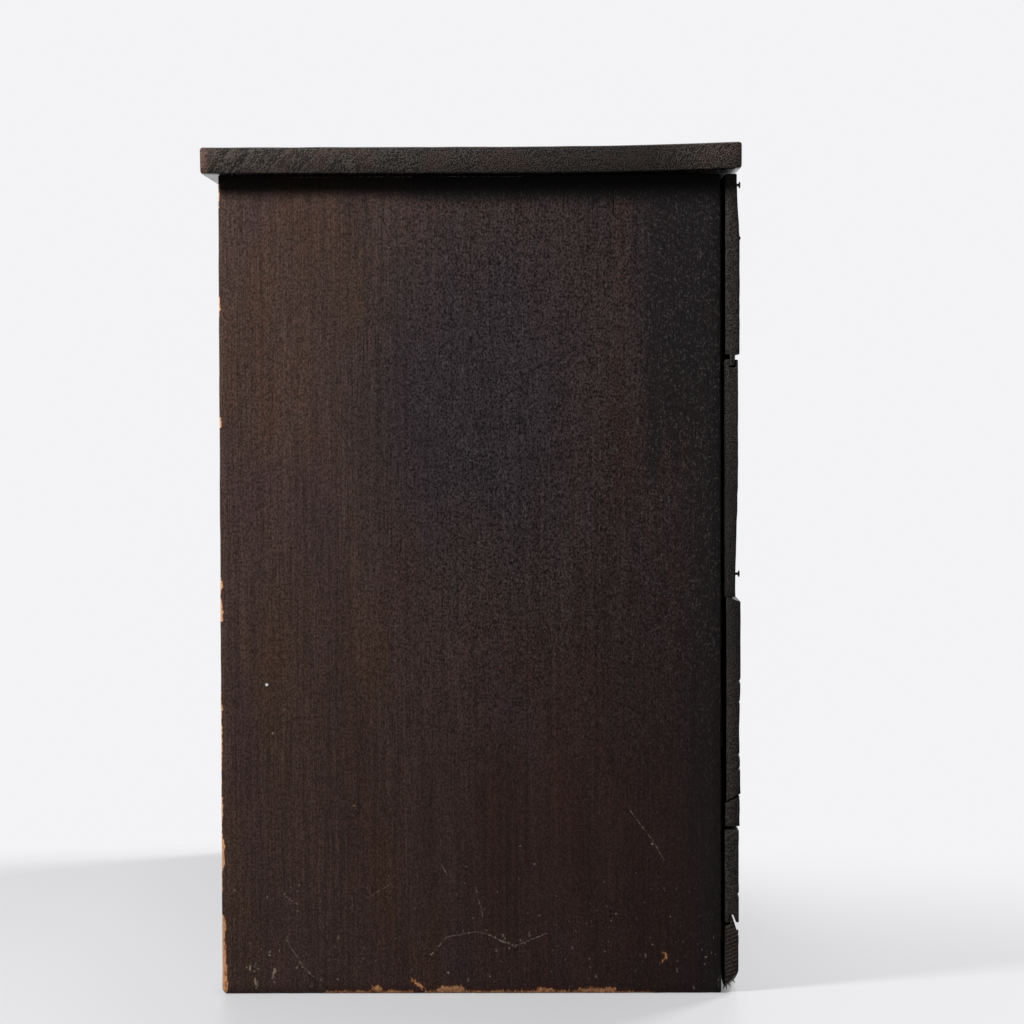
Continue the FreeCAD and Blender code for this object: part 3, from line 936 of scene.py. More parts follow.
@dataclass(frozen=True)
class PanelPine(StainedPine):
    """The side panels' stain: browner in front, black behind, partly as painted shade of the light falling
    off, redder low down, with its own scratches.
    """

    front: float = 0.0
    back: float = 1.0
    height: float = 1.0
    outer: float = 0.0
    marks: PanelMarks = PanelMarks()
    olive: str = "#4b3729"
    rear_early: str = "#322929"
    rear_late: str = "#241d1d"
    low_early: str = "#301d1b"
    low_late: str = "#221413"
    russet: str = "#371f1a"
    mauve: str = "#3b2b31"
    bloom: str = "#2b262a"
    warm: str = "#3b2d2b"
    # A patch's way from the front edge, its share of the height, its reach and its weight.
    warm_patch: tuple[float, float, float, float] = (0.28, 0.79, 0.09, 0.6)
    bloom_patch: tuple[float, float, float, float] = (0.21, 0.72, 0.13, 0.8)
    # Darker tone laid along the back edge and high up towards the back.
    dark_tone: str = "#171617"
    # Colour of the painted highlights on raised fibres.
    glint: str = "#5c5656"
    glint_share: float = 0.58
    rear_grit: float = 0.4
    # Colour of the painted shadow under the top's overhang.
    painted_overhang_shadow: str = "#0b0909"
    scratched: str = "#c4b5a9"
    dotted: str = "#9f8b78"
    speck_brown: str = "#8f7c69"
    speck_grey: str = "#8a7e79"
    fringe: str = "#4f2d1e"
    torn_light: str = "#e0a676"
    torn_dark: str = "#9a5d3c"
    torn_pink: str = "#d8a488"
    rim: str = "#d6b394"
    hole: str = "#080606"
    paint: str = "#ebe9e6"
    sway_mm: tuple[float, float] = (38.0, 260.0)
    tint_mm: tuple[float, float] = (42.0, 170.0)
    cast_mm: tuple[float, float] = (60.0, 200.0)
    drip_mm: tuple[float, float] = (9.0, 110.0)

    def stain(self, tree: Tree, figure: Socket, chance: Socket | None) -> Socket:
        """Colour the figure with a stain that changes across the panel.

        Args:
            tree: Node tree to add to.
            figure: 0 in early wood and 1 in late wood.
            chance: Not used: the panel is one board.

        Returns:
            The stained colour.
        """
        place = add(tree, Kind.PLACE)
        space = grain_space(tree, Axis.Z, (0.2, 0.5, 0.1))
        sway = add(tree, Kind.MINUS, streaks(tree, space, *self.sway_mm, 5.0), 0.5)
        tint = streaks(tree, space, *self.tint_mm)
        # The stain darkens from front to back; part of this darkening is painted shade, the light falling off
        # from a lamp in front of the chest.
        depth = add(tree, Kind.WEIGH_IN, sway, 0.3, add(tree, Kind.Y, place))
        rear = add(tree, Kind.STEP, depth, self.front - 0.04, self.back - 0.02)
        low_down = add(tree, Kind.STEP, add(tree, Kind.Z, place), 0.75 * self.height, 0.1, 0.0, 0.9)
        low = add(tree, Kind.MIX, figure, linear(self.low_early), linear(self.low_late))
        before = add(tree, Kind.MIX, figure, linear(self.early), linear(self.late))
        before = laid_over(tree, before, self.olive, tint, 0.38, 0.7, 0.0, 0.7)
        before = add(tree, Kind.MIX, add(tree, Kind.TIMES, low_down, 0.2), before, low)
        behind = add(tree, Kind.MIX, figure, linear(self.rear_early), linear(self.rear_late))
        behind = add(tree, Kind.MIX, low_down, behind, low)
        behind = laid_over(tree, behind, self.russet, tint, 0.44, 0.72, 0.0, 0.45)
        colour = add(tree, Kind.MIX, rear, before, behind)
        cast = streaks(tree, add(tree, Kind.SHIFT, space, (1.7, 0.3, 2.2)), *self.cast_mm)
        colour = laid_over(tree, colour, self.mauve, cast, 0.5, 0.68, 0.0, 0.5)
        # The stain has a warm patch high up towards the back, and before it a blue-black bloom.
        for (across, up, reach, share), shade in (
            (self.warm_patch, self.warm),
            (self.bloom_patch, self.bloom),
        ):
            away = add(tree, Kind.FROM, place, (self.outer, self.front + across, up * self.height))
            away = add(tree, Kind.LENGTH, add(tree, Kind.STRETCH, away, (1.0, 1.0, 0.62)))
            away = add(tree, Kind.WEIGH_IN, sway, 0.16, away)
            colour = laid_over(tree, colour, shade, away, reach, 0.3 * reach, 0.0, share)
        return colour

    def gritty(self, tree: Tree) -> Socket | float:
        """Speckle the stain more towards the back and high up.

        Args:
            tree: Node tree to add to.

        Returns:
            How strongly the pores speckle the stain.
        """
        place = add(tree, Kind.PLACE)
        depth = add(tree, Kind.Y, place)
        behind = add(tree, Kind.STEP, depth, self.front + 0.08, self.front + 0.24, 0.0, self.rear_grit)
        high_up = add(tree, Kind.STEP, add(tree, Kind.Z, place), 0.12, 0.36)
        return add(tree, Kind.WEIGH_IN, behind, high_up, self.grit)

    def marked(self, tree: Tree, colour: Socket, space: Socket) -> tuple[Socket, Socket | float]:
        """Draw the panel's grime, glints, scratches, chips, holes and paint dot.

        Args:
            tree: Node tree to add to.
            colour: Colour so far.
            space: Coordinates along the grain.

        Returns:
            The colour with the marks, and how deep they are.
        """
        spot = add(tree, Kind.PLACE)
        place = add(tree, Kind.FROM, spot, (self.outer, self.front, 0.0))
        flat = add(tree, Kind.STRETCH, place, (0.0, 1.0, 1.0))
        across, height = add(tree, Kind.Y, flat), add(tree, Kind.Z, flat)
        breaks = streaks(tree, space, 3.0, 3.0, 3.0)
        flecks = streaks(tree, space, 1.2, 1.5, 2.0)
        ragged = add(tree, Kind.MINUS, streaks(tree, space, 1.6, 8.0), 0.5)
        uneven = add(tree, Kind.MINUS, streaks(tree, space, 9.0, 16.0), 0.5)
        # Wear on the outer face ends a few millimetres round the front edge.
        deep = add(tree, Kind.SIZE, add(tree, Kind.X, place))
        deep = add(tree, Kind.WEIGH_IN, uneven, 22 * MM, deep)
        skin = add(tree, Kind.STEP, deep, 5 * MM, 3 * MM)
        colour = self.painted_shade_and_glints(tree, colour, space, across, height)
        rough = shaken(tree, flat, 3.0, 1.3)
        fine = shaken(tree, flat, 4.0, 0.8)
        share = add(tree, Kind.STEP, height, 0.12, 0.0, 0.001, 0.55)
        speck = specks(tree, fine, 4.0, 0.6, share)
        share = add(tree, Kind.STEP, height, 0.07, 0.0, 0.0, 0.55)
        speck = add(tree, Kind.MOST, speck, specks(tree, rough, 9.0, 1.5, share))
        speck = add(tree, Kind.TIMES, speck, add(tree, Kind.STEP, flecks, 0.38, 0.58, 0.0, 0.75))
        scratch = add(tree, Kind.STEP, nearest_mark(tree, fine, self.marks.scratches), 0.4 * MM, -0.4 * MM)
        scratch = add(tree, Kind.TIMES, scratch, add(tree, Kind.STEP, flecks, 0.38, 0.6, 0.12, 0.9))
        scratch = add(tree, Kind.TIMES, scratch, add(tree, Kind.STEP, breaks, 0.42, 0.66, 0.1, 1.0))
        dot = add(tree, Kind.STEP, nearest_mark(tree, fine, self.marks.dots), 0.4 * MM, -0.4 * MM)
        dot = add(tree, Kind.TIMES, dot, add(tree, Kind.STEP, flecks, 0.3, 0.55, 0.25, 0.95))
        worn = add(tree, Kind.WEIGH_IN, uneven, 6 * MM, nearest_mark(tree, rough, self.marks.edge_wear))
        torn = add(tree, Kind.WEIGH_IN, ragged, 7 * MM, nearest_mark(tree, rough, self.marks.patches))
        torn = add(tree, Kind.LEAST, worn, torn)
        patch = add(tree, Kind.STEP, torn, 0.5 * MM, -0.5 * MM)
        fringe = add(tree, Kind.STEP, torn, 2.6 * MM, 0.2 * MM, 0.0, 0.6)
        hole = add(tree, Kind.STEP, nearest_mark(tree, fine, self.marks.holes), 0.3 * MM, -0.3 * MM)
        paint = add(tree, Kind.STEP, nearest_mark(tree, fine, self.marks.paint), 0.3 * MM, -0.3 * MM)
        dusty = laid_over(tree, linear(self.speck_brown), self.speck_grey, uneven, -0.08, 0.08)
        ground = laid_over(tree, linear(self.torn_light), self.torn_dark, breaks, 0.35, 0.65)
        ground = laid_over(tree, ground, self.torn_pink, ragged, 0.0, 0.14, 0.0, 0.75)
        rim = add(tree, Kind.WEIGH_IN, ragged, 5 * MM, across)
        ground = laid_over(tree, ground, self.rim, rim, 2.6 * MM, 0.8 * MM, 0.0, 0.6)
        layers = (
            (scratch, linear(self.scratched)),
            (speck, dusty),
            (dot, linear(self.dotted)),
            (fringe, linear(self.fringe)),
            (patch, ground),
            (hole, linear(self.hole)),
            (paint, linear(self.paint)),
        )
        for cover, shade in layers:
            colour = add(tree, Kind.MIX, add(tree, Kind.TIMES, cover, skin), colour, shade)
        dents = add(tree, Kind.WEIGH_IN, hole, 2.0, patch)
        return colour, add(tree, Kind.TIMES, dents, skin)

    def painted_shade_and_glints(self, tree: Tree, colour: Socket, space: Socket, across: Socket, height: Socket) -> Socket:
        """Paint the shadow under the top, darken the panel along its back edge and high up towards the back,
        and paint small glints.

        Args:
            tree: Node tree to add to.
            colour: Colour so far.
            space: Coordinates along the grain.
            across: Way from the panel's front edge.
            height: Height above the floor.

        Returns:
            The colour with the darker tone, the painted shadow and the painted glints.
        """
        width = self.back - self.front
        # Darker along the back edge and high up towards the back.
        behind = add(tree, Kind.STEP, across, width - 0.06, width, 0.0, 0.75)
        drips = add(tree, Kind.MINUS, streaks(tree, space, *self.drip_mm), 0.5)
        low_end = add(tree, Kind.WEIGH_IN, drips, 0.2, height)
        high_up = add(tree, Kind.STEP, low_end, 0.61 * self.height, 0.68 * self.height, 0.0, 0.75)
        rear = add(tree, Kind.WEIGH_IN, drips, 0.06, across)
        high_up = add(tree, Kind.TIMES, high_up, add(tree, Kind.STEP, rear, 0.8 * width, 0.88 * width))
        behind = add(tree, Kind.MOST, behind, high_up)
        # Painted shadow under the top's overhang: a dark band below the top, stronger and reaching a little
        # lower towards the back.
        most = add(tree, Kind.STEP, across, 0.1, 0.2, 0.72, 0.93)
        shaded = add(tree, Kind.PLUS, height, add(tree, Kind.STEP, across, 0.1, 0.2, 0.0, 6 * MM))
        colour = add(tree, Kind.MIX, behind, colour, linear(self.dark_tone))
        below, top = self.height - 24 * MM, self.height - 9 * MM
        colour = laid_over(tree, colour, self.painted_overhang_shadow, shaded, below, top, 0.0, most)
        # Painted highlights where light would catch single raised fibres; they are drawn a millimetre wide,
        # which is the least that shows.
        points = streaks(tree, add(tree, Kind.SHIFT, space, (0.9, 1.4, 0.6)), 1.4, 2.0, 1.0)
        points = add(tree, Kind.STEP, points, 0.54, 0.74, 0.0, self.glint_share)
        points = add(tree, Kind.TIMES, points, add(tree, Kind.STEP, across, 0.08, 0.22, 0.45, 1.0))
        points = add(tree, Kind.TIMES, points, add(tree, Kind.STEP, height, 0.12, 0.36, 0.3, 1.0))
        points = add(
            tree, Kind.TIMES, points, add(tree, Kind.STEP, height, self.height, self.height - 40 * MM)
        )
        return add(tree, Kind.MIX, points, colour, linear(self.glint))


@dataclass(frozen=True)
class SawnEndGrain:
    """Pine sawn across and stained: open pores, slanting saw marks in front, dry and grey."""

    name: str
    light: str = "#4a433d"
    dark: str = "#13100f"
    red: str = "#48322c"
    bare: str = "#836051"
    saw_mm: float = 1.9
    saw_turn: float = math.radians(48)
    saw_weight: float = 0.7
    pore_mm: float = 1.3
    ring_mm: float = 7.0
    ring_weight: float = 0.05
    pith: tuple[float, float] = (0.09, 0.45)
    front: float = -0.22
    back: float = 0.22
    # How far the end darkens towards the back, as painted shade of the light falling off from a lamp in
    # front.
    fade: float = 0.6
    rear_light: float = 1.0
    rear_run: tuple[float, float] = (77 * MM, 17 * MM)
    cracks: tuple[Mark, ...] = ()
    crack: str = "#090707"
    lump_mm: float = 5.0
    red_mm: float = 22.0
    ridge_mm: float = 0.0
    ridge_turn: float = math.radians(22)
    sooty: float = 0.0
    soot_reach: float = 0.12

    def material(self) -> bpy.types.Material:
        """Build the finish.

        Returns:
            The material.
        """
        material, tree = blank_finish(self.name)
        space = grain_space(tree, Axis.X, (0.0, 0.0, 0.0))
        place = add(tree, Kind.PLACE)
        depth = add(tree, Kind.Y, place)
        rings = growth_rings(tree, space, self.ring_mm, self.pith, 6 * MM)
        pores = streaks(tree, space, self.pore_mm, self.pore_mm, 1.5)
        lumps = streaks(tree, space, self.lump_mm, self.lump_mm, 4.0, 0.7)
        # Where the painted shade darkens the end, its pores stand out more.
        crisp = add(tree, Kind.STEP, depth, self.front, self.back, 1 - 0.4 * self.fade, 1 + 3 * self.fade)
        figure = add(tree, Kind.TIMES, add(tree, Kind.MINUS, pores, 0.5), crisp)
        figure = add(tree, Kind.WEIGH_IN, rings, self.ring_weight, add(tree, Kind.PLUS, figure, 0.5))
        figure = add(tree, Kind.PLUS, figure, self.sawn(tree, space, depth))
        if self.ridge_mm:
            figure = add(tree, Kind.PLUS, figure, self.ridged(tree, place))
        colour = laid_over(tree, linear(self.light), self.dark, figure, 0.4, 0.62)
        reds = streaks(tree, space, self.red_mm, self.red_mm, 3.0)
        colour = laid_over(tree, colour, self.red, reds, 0.46, 0.62, 0.0, 0.35)
        # The end darkens towards the back: painted shade of the light falling off from a lamp in front; the
        # last few centimetres at the back are made lighter again.
        painted_falloff = add(tree, Kind.STEP, depth, self.front, self.back, 1.0, 1 - self.fade)
        start, end = (self.back - run for run in self.rear_run)
        painted_falloff = add(tree, Kind.TIMES, painted_falloff, add(tree, Kind.STEP, depth, start, end, 1.0, self.rear_light))
        colour = add(tree, Kind.TINT, 1.0, colour, add(tree, Kind.POINT, painted_falloff, painted_falloff, painted_falloff))
        if self.sooty:
            apart = add(tree, Kind.SIZE, add(tree, Kind.MINUS, add(tree, Kind.Z, place), self.sooty))
            colour = laid_over(
                tree, colour, self.dark, apart, self.soot_reach, 0.5 * self.soot_reach, 0.0, 0.5
            )
        reach = add(tree, Kind.TIMES, add(tree, Kind.WEAR), 0.5)
        reach = add(tree, Kind.WEIGH_IN, lumps, 0.6, reach)
        bare = add(tree, Kind.STEP, reach, 0.93, 1.02, 0.0, 0.7)
        worn = add(tree, Kind.WEIGH_IN, add(tree, Kind.MINUS, lumps, 0.5), 22 * MM, depth)
        worn = add(tree, Kind.STEP, worn, self.front + 5 * MM, self.front + 1 * MM, 0.0, 0.5)
        worn = add(tree, Kind.TIMES, worn, add(tree, Kind.STEP, pores, 0.62, 0.42, 0.25, 1.0))
        colour = add(tree, Kind.MIX, add(tree, Kind.MOST, bare, worn), colour, linear(self.bare))
        if self.cracks:
            flat = add(tree, Kind.STRETCH, place, (0.0, 1.0, 1.0))
            crack = nearest_mark(tree, shaken(tree, flat, 3.0, 0.4), self.cracks)
            colour = laid_over(tree, colour, self.crack, crack, 0.3 * MM, -0.3 * MM, 0.0, 0.9)
        gloss = add(tree, Kind.STEP, pores, 0.2, 0.8, 0.62, 0.82)
        bump = add(tree, Kind.BUMP, figure, 0.7, 0.9 * MM)
        add(tree, Kind.OUTPUT, add(tree, Kind.SURFACE, colour, gloss, bump, 0.2))
        return material

    def sawn(self, tree: Tree, space: Socket, depth: Socket) -> Socket:
        """Give the marks of a hand saw, clear in front and lost further back.

        Args:
            tree: Node tree to add to.
            space: Coordinates along the grain.
            depth: Place from front to back.

        Returns:
            A value around 0.
        """
        sloped = add(tree, Kind.TURN, space, (0.0, 0.0, -self.saw_turn))
        drawn = add(tree, Kind.DRAW_OUT, sloped, (1000 / (4 * self.saw_mm), 1000 / self.saw_mm, 40.0))
        saw = add(tree, Kind.MINUS, add(tree, Kind.NOISE, drawn, 1.0, 2.0, 0.6), 0.5)
        strong, weak = self.saw_weight, 0.4 * self.saw_weight
        clear = add(tree, Kind.STEP, depth, self.front + 0.1, self.front + 0.22, strong, weak)
        return add(tree, Kind.TIMES, saw, clear)

    def ridged(self, tree: Tree, place: Socket) -> Socket:
        """Give the ridges of torn end grain.

        Args:
            tree: Node tree to add to.
            place: Place on the piece.

        Returns:
            A value around 0.
        """
        turned = add(tree, Kind.TURN, place, (-math.pi / 2 - self.ridge_turn, 0.0, 0.0))
        ridge = add(tree, Kind.RIDGES, turned, WAVE_LENGTH / (self.ridge_mm * MM), 1.5, 2.0, 1.0)
        return add(tree, Kind.TIMES, add(tree, Kind.MINUS, ridge, 0.5), 0.3)


@dataclass(frozen=True)
class BarePine:
    """Bare pine that has yellowed and gathered dust: clear flames of late wood, dry and matt."""

    name: str
    grain: Axis
    early: str = "#a2835e"
    late: str = "#785839"
    dark_tone: str = "#4d3c2c"
    ring_mm: float = 6.0
    pith: tuple[float, float] = (0.03, -0.16)
    stained_front: tuple[float, float] | None = None
    front_early: str = "#42352f"
    front_late: str = "#2a2120"
    fibre_mm: tuple[float, float] = (0.9, 60.0)
    cloud_mm: tuple[float, float] = (70.0, 180.0)

    def material(self) -> bpy.types.Material:
        """Build the finish.

        Returns:
            The material.
        """
        material, tree = blank_finish(self.name)
        space = grain_space(tree, self.grain, (0.3, 0.1, 0.7))
        fibre = streaks(tree, space, *self.fibre_mm)
        rings = growth_rings(tree, space, self.ring_mm, self.pith, 18 * MM)
        clouds = streaks(tree, space, *self.cloud_mm, 3.0)
        figure = add(tree, Kind.WEIGH_IN, fibre, 0.55, add(tree, Kind.TIMES, rings, 0.5))
        colour = laid_over(tree, linear(self.early), self.late, figure, 0.3, 0.95)
        colour = laid_over(tree, colour, self.dark_tone, clouds, 0.4, 0.75, 0.0, 0.5)
        handled = add(tree, Kind.TIMES, add(tree, Kind.WEAR), 0.3)
        colour = add(tree, Kind.MIX, handled, colour, linear(self.dark_tone))
        if self.stained_front:
            run = add(tree, Kind.WEIGH_IN, fibre, 6 * MM, add(tree, Kind.Y, add(tree, Kind.PLACE)))
            stained = add(tree, Kind.STEP, run, self.stained_front[1], self.stained_front[0])
            stain = add(tree, Kind.MIX, fibre, linear(self.front_early), linear(self.front_late))
            colour = add(tree, Kind.MIX, stained, colour, stain)
        gloss = add(tree, Kind.STEP, fibre, 0.2, 0.8, 0.6, 0.8)
        bump = add(tree, Kind.BUMP, figure, 0.4, 0.4 * MM)
        add(tree, Kind.OUTPUT, add(tree, Kind.SURFACE, colour, gloss, bump, 0.25))
        return material


@dataclass(frozen=True)
class RustedIron:
    """Wire nails, drawn and headed, long rusted: brown-black scale with orange bloom."""

    name: str
    scale: str = "#3a332f"
    rust: str = "#6e4630"
    bloom_mm: float = 1.5

    def material(self) -> bpy.types.Material:
        """Build the finish.

        Returns:
            The material.
        """
        material, tree = blank_finish(self.name)
        bloom = add(tree, Kind.NOISE, add(tree, Kind.PLACE), 1 / (self.bloom_mm * MM), 4.0, 0.5)
        colour = laid_over(tree, linear(self.scale), self.rust, bloom, 0.42, 0.6)
        gloss = add(tree, Kind.STEP, bloom, 0.3, 0.7, 0.45, 0.85)
        metal = add(tree, Kind.STEP, bloom, 0.4, 0.6, 0.8, 0.0)
        bump = add(tree, Kind.BUMP, bloom, 0.5, 0.2 * MM)
        add(tree, Kind.OUTPUT, add(tree, Kind.SURFACE, colour, gloss, bump, 0.5, metal))
        return material


def dress(
    piece: bpy.types.Object,
    body: str,
    finish: bpy.types.Material,
    nodes: tuple[str, ...],
    ends: bpy.types.Material | None = None,
    grain: Axis = Axis.X,
) -> None:
    """Give a piece its finish and its place in the frame.

    Args:
        piece: The modelled piece.
        body: Body that it rides on.
        finish: Its material.
        nodes: Solids that it stands for.
        ends: Material of the faces across the grain, if they differ.
        grain: Direction of the grain.
    """
    piece.data.materials.append(finish)
    if ends:
        piece.data.materials.append(ends)
        for face in piece.data.polygons:
            face.material_index = int(abs(face.normal[grain.value]) > END_FACE)
    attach(piece, body)
    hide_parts(*nodes)
    log.info("%s: %d faces, rides on %s", piece.name, len(piece.data.polygons), body)


# Carcase


@dataclass
class SidePanel(Board):
    """Side panel with a rounded front foot."""

    foot_radius: float = 5 * MM

    def shape(self, piece: bpy.types.Object) -> None:
        """Round the front foot.

        Args:
            piece: The panel in edit mode.
        """
        near = 1e-5
        low = self.low

        def is_foot(edge: bpy.types.MeshEdge) -> bool:
            """Tell whether an edge runs through the panel at its front foot."""
            ends = [piece.data.vertices[index].co for index in edge.vertices]
            return all(abs(end.y - low.y) < near and abs(end.z - low.z) < near for end in ends)

        if pick(piece, Domain.EDGE, is_foot):
            bpy.ops.mesh.bevel(offset=self.foot_radius, segments=5, profile=0.5, affect="EDGES")


@dataclass
class TopBoard(Board):
    """Top board that lies flat in front and cups upwards towards the back."""

    flat_run: float = 250 * MM
    cup_rise: float = 3.5 * MM

    def settle(self, piece: bpy.types.Object) -> None:
        """Lift the rows of vertices behind the bend along an arc.

        Args:
            piece: The board.
        """
        bend = self.low.y + self.flat_run
        run = self.high.y - bend
        radius = (run**2 + self.cup_rise**2) / (2 * self.cup_rise)
        rows = sorted({round(vertex.co.y, 5) for vertex in piece.data.vertices if vertex.co.y > bend})
        with editing(piece):
            for row in rows:
                rise = radius - math.sqrt(radius**2 - (row - bend) ** 2)
                pick(piece, Domain.VERT, lambda vertex: round(vertex.co.y, 5) == row)
                bpy.ops.transform.translate(value=(0, 0, rise))


@dataclass
class Carcase:
    """Top, sides, bottom, plinth, shelves and partitions."""

    top_thickness: float = 22 * MM
    clearance: float = 0.1 * MM
    shelves: int = 3
    partitions: int = 4
    wide: Weathering = Weathering(12 * MM, 0.45 * MM, 16 * MM)
    light: Weathering = Weathering(7 * MM, 0.7 * MM, 12 * MM)
    top_wear: Weathering = Weathering(12 * MM, 0.5 * MM, 24 * MM)
    inner_pine: tuple[str, str, str] = ("#8a6a49", "#5f4329", "#3a2c20")
    inner_step: float = 24 * MM

    def build(self) -> None:
        """Model and dress every board of the carcase."""
        self.build_sides()
        self.build_top()
        self.build_grid()

    def build_sides(self) -> None:
        """Model and dress the two side panels."""
        for node, marks, shift in (
            ("side_panel_left", LEFT_MARKS, (0.9, 0.4, 1.3)),
            ("side_panel_right", RIGHT_MARKS, (0.0, 0.0, 0.0)),
        ):
            low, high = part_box(node)
            finish = PanelPine(
                "stained_pine_" + node,
                Axis.Z,
                early="#503e37",
                late="#3c2b26",
                grit_mm=(1.6, 2.0),
                grit=0.52,
                brush=0.19,
                relief=0.8,
                shine=0.12,
                ring_weight=0.03,
                blotch_share=0.12,
                worn=0.15,
                shift=shift,
                front=low.y,
                back=high.y,
                height=high.z,
                outer=max(low.x, high.x, key=abs),
                marks=marks,
            ).material()
            panel = SidePanel(node + "_board", low, high, Lie.UPRIGHT, 9 * MM, weathering=self.wide)
            dress(panel.build(), CARCASE, finish, (node,))

    def build_top(self) -> None:
        """Model and dress the top board."""
        low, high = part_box("top_board")
        flat = Vector((high.x, high.y, low.z + self.top_thickness))
        top = TopBoard("top_board_plank", low, flat, Lie.FLAT, 11 * MM, 2.2 * MM, weathering=self.top_wear)
        finish = StainedPine(
            "stained_pine_top",
            Axis.X,
            early="#473a34",
            late="#2c2423",
            worn=0.7,
            rough=0.25,
            dull_above=low.z + 6 * MM,
            pith=(0.02, 0.55),
        ).material()
        ends = SawnEndGrain("sawn_pine_top_end", rear_light=2.9).material()
        dress(top.build(), CARCASE, finish, ("top_board",), ends)

    def build_grid(self) -> None:
        """Model and dress the bottom, plinth, shelves and partitions."""
        low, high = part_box("shelf_1")
        middle = (low.y + high.y) / 2
        front = (low.y + 2 * MM, low.y + 26 * MM)
        along, upright = (
            BarePine("aged_pine_" + name, grain, *self.inner_pine, stained_front=front).material()
            for name, grain in (("shelf", Axis.X), ("partition", Axis.Z))
        )
        plinth = StainedPine("stained_pine_plinth", Axis.X, worn=0.75, shift=(0.4, 0.2, 0.9)).material()
        uprights = [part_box(f"partition_{index + 1}") for index in range(self.partitions)]
        levels = [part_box(f"shelf_{index + 1}") for index in range(self.shelves)]
        gap = Vector((self.clearance,) * 3)
        for index, (low, high) in enumerate(levels, start=1):
            slots = [
                (Vector((a.x, middle, low.z)) - gap, Vector((b.x, high.y, high.z)) + gap) for a, b in uprights
            ]
            board = Board(
                f"shelf_{index}_board",
                low,
                high,
                Lie.FLAT,
                self.inner_step,
                notches=slots,
                weathering=self.light,
            )
            dress(board.build(), CARCASE, along, (f"shelf_{index}",))
        for index, (low, high) in enumerate(uprights, start=1):
            slots = [
                (Vector((low.x, a.y, a.z)) - gap, Vector((high.x, middle, b.z)) + gap) for a, b in levels
            ]
            board = Board(
                f"partition_{index}_board",
                low,
                high,
                Lie.UPRIGHT,
                self.inner_step,
                notches=slots,
                weathering=self.light,
            )
            dress(board.build(), CARCASE, upright, (f"partition_{index}",))
        low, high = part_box("bottom_board")
        board = Board("bottom_plank", low, high, Lie.FLAT, self.inner_step, weathering=self.light)
        dress(board.build(), CARCASE, along, ("bottom_board",))
        low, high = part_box("plinth_board")
        board = Board("plinth_plank", low, high, Lie.FACING, 9 * MM, weathering=self.wide)
        dress(board.build(), CARCASE, plinth, ("plinth_board",))


# Back


class EdgeForm(Enum):
    """How a back board meets its neighbour."""

    PLAIN = 0
    TONGUE = 1
    GROOVE = 2


@dataclass(frozen=True)
class Pull:
    """A warp of a back board's right end: its height, how far its outer face comes out, and its reach."""

    height: float
    out: float
    reach: float

    def at(self, beside: float, height: float) -> float:
        """Give how far the face comes out at a distance from the end and at a height."""
        share = max(0.0, 1 - math.hypot(beside, height - self.height) / self.reach)
        return self.out * share**2 * (3 - 2 * share)


@dataclass(frozen=True)
class Chip:
    """A chip of the outer arris at a back board's right end: its height and how far out its middle stands."""

    height: float
    out: float
    half: float = 2 * MM


@dataclass
class BackBoard(Board):
    """Tongue-and-groove board, drawn end on, with broken corners and a warped, chipped right end."""

    breaks: list[tuple[Vector, Vector]] = field(default_factory=list)
    pulls: tuple[Pull, ...] = ()
    chips: tuple[Chip, ...] = ()
    groove_corner: Vector | None = None
    groove_lean: float = -2 * MM
    chip_run: float = 27 * MM
    grip: float = 4 * MM

    def shape(self, piece: bpy.types.Object) -> None:
        """Break corners off, lean the groove's outer wall and lay rows of vertices for the chips.

        Args:
            piece: The board in edit mode.
        """
        for place, normal in self.breaks:
            bpy.ops.mesh.select_all(action="SELECT")
            bpy.ops.mesh.bisect(plane_co=place, plane_no=normal.normalized(), use_fill=True, clear_outer=True)
        corner = self.groove_corner
        if corner:
            near = 0.1 * MM
            pick(piece, Domain.VERT, lambda vertex: (vertex.co - corner).yz.length < near)
            bpy.ops.transform.translate(value=(0, self.groove_lean, 0))
        if self.chips:
            cut_through(Vector((self.high.x - self.chip_run, 0, 0)), Vector((1, 0, 0)))
        for chip in self.chips:
            for height in (chip.height - chip.half, chip.height, chip.height + chip.half):
                cut_through(UP * height, UP)

    def settle(self, piece: bpy.types.Object) -> None:
        """Chip the arris and warp the outer face at the right end.

        Args:
            piece: The board.
        """
        if not self.pulls and not self.chips:
            return
        end = self.high - Vector((2, 2, 0)) * self.rounding
        with editing(piece):
            for chip in self.chips:

                def on_arris(vertex: bpy.types.MeshVertex) -> bool:
                    """Tell whether a vertex lies on the arris at the chip's middle."""
                    level = abs(vertex.co.z - chip.height) < 0.05 * MM
                    return level and vertex.co.x > end.x and vertex.co.y > end.y

                pick(piece, Domain.VERT, on_arris)
                bpy.ops.transform.translate(value=(0, chip.out, 0))
            middle = (self.low.y + self.high.y) / 2
            pick(piece, Domain.VERT, lambda vertex: vertex.co.y < middle)
            bpy.ops.mesh.hide()
            for pull in self.pulls:

                def at_end(vertex: bpy.types.MeshVertex) -> bool:
                    """Tell whether a vertex lies at the right end at the pull's height."""
                    level = abs(vertex.co.z - pull.height) < self.grip
                    return level and vertex.co.x > end.x and vertex.co.y > middle

                pick(piece, Domain.VERT, at_end)
                bpy.ops.transform.translate(
                    value=(0, pull.out, 0),
                    use_proportional_edit=True,
                    proportional_edit_falloff="SMOOTH",
                    proportional_size=pull.reach,
                )
            bpy.ops.mesh.reveal(select=False)


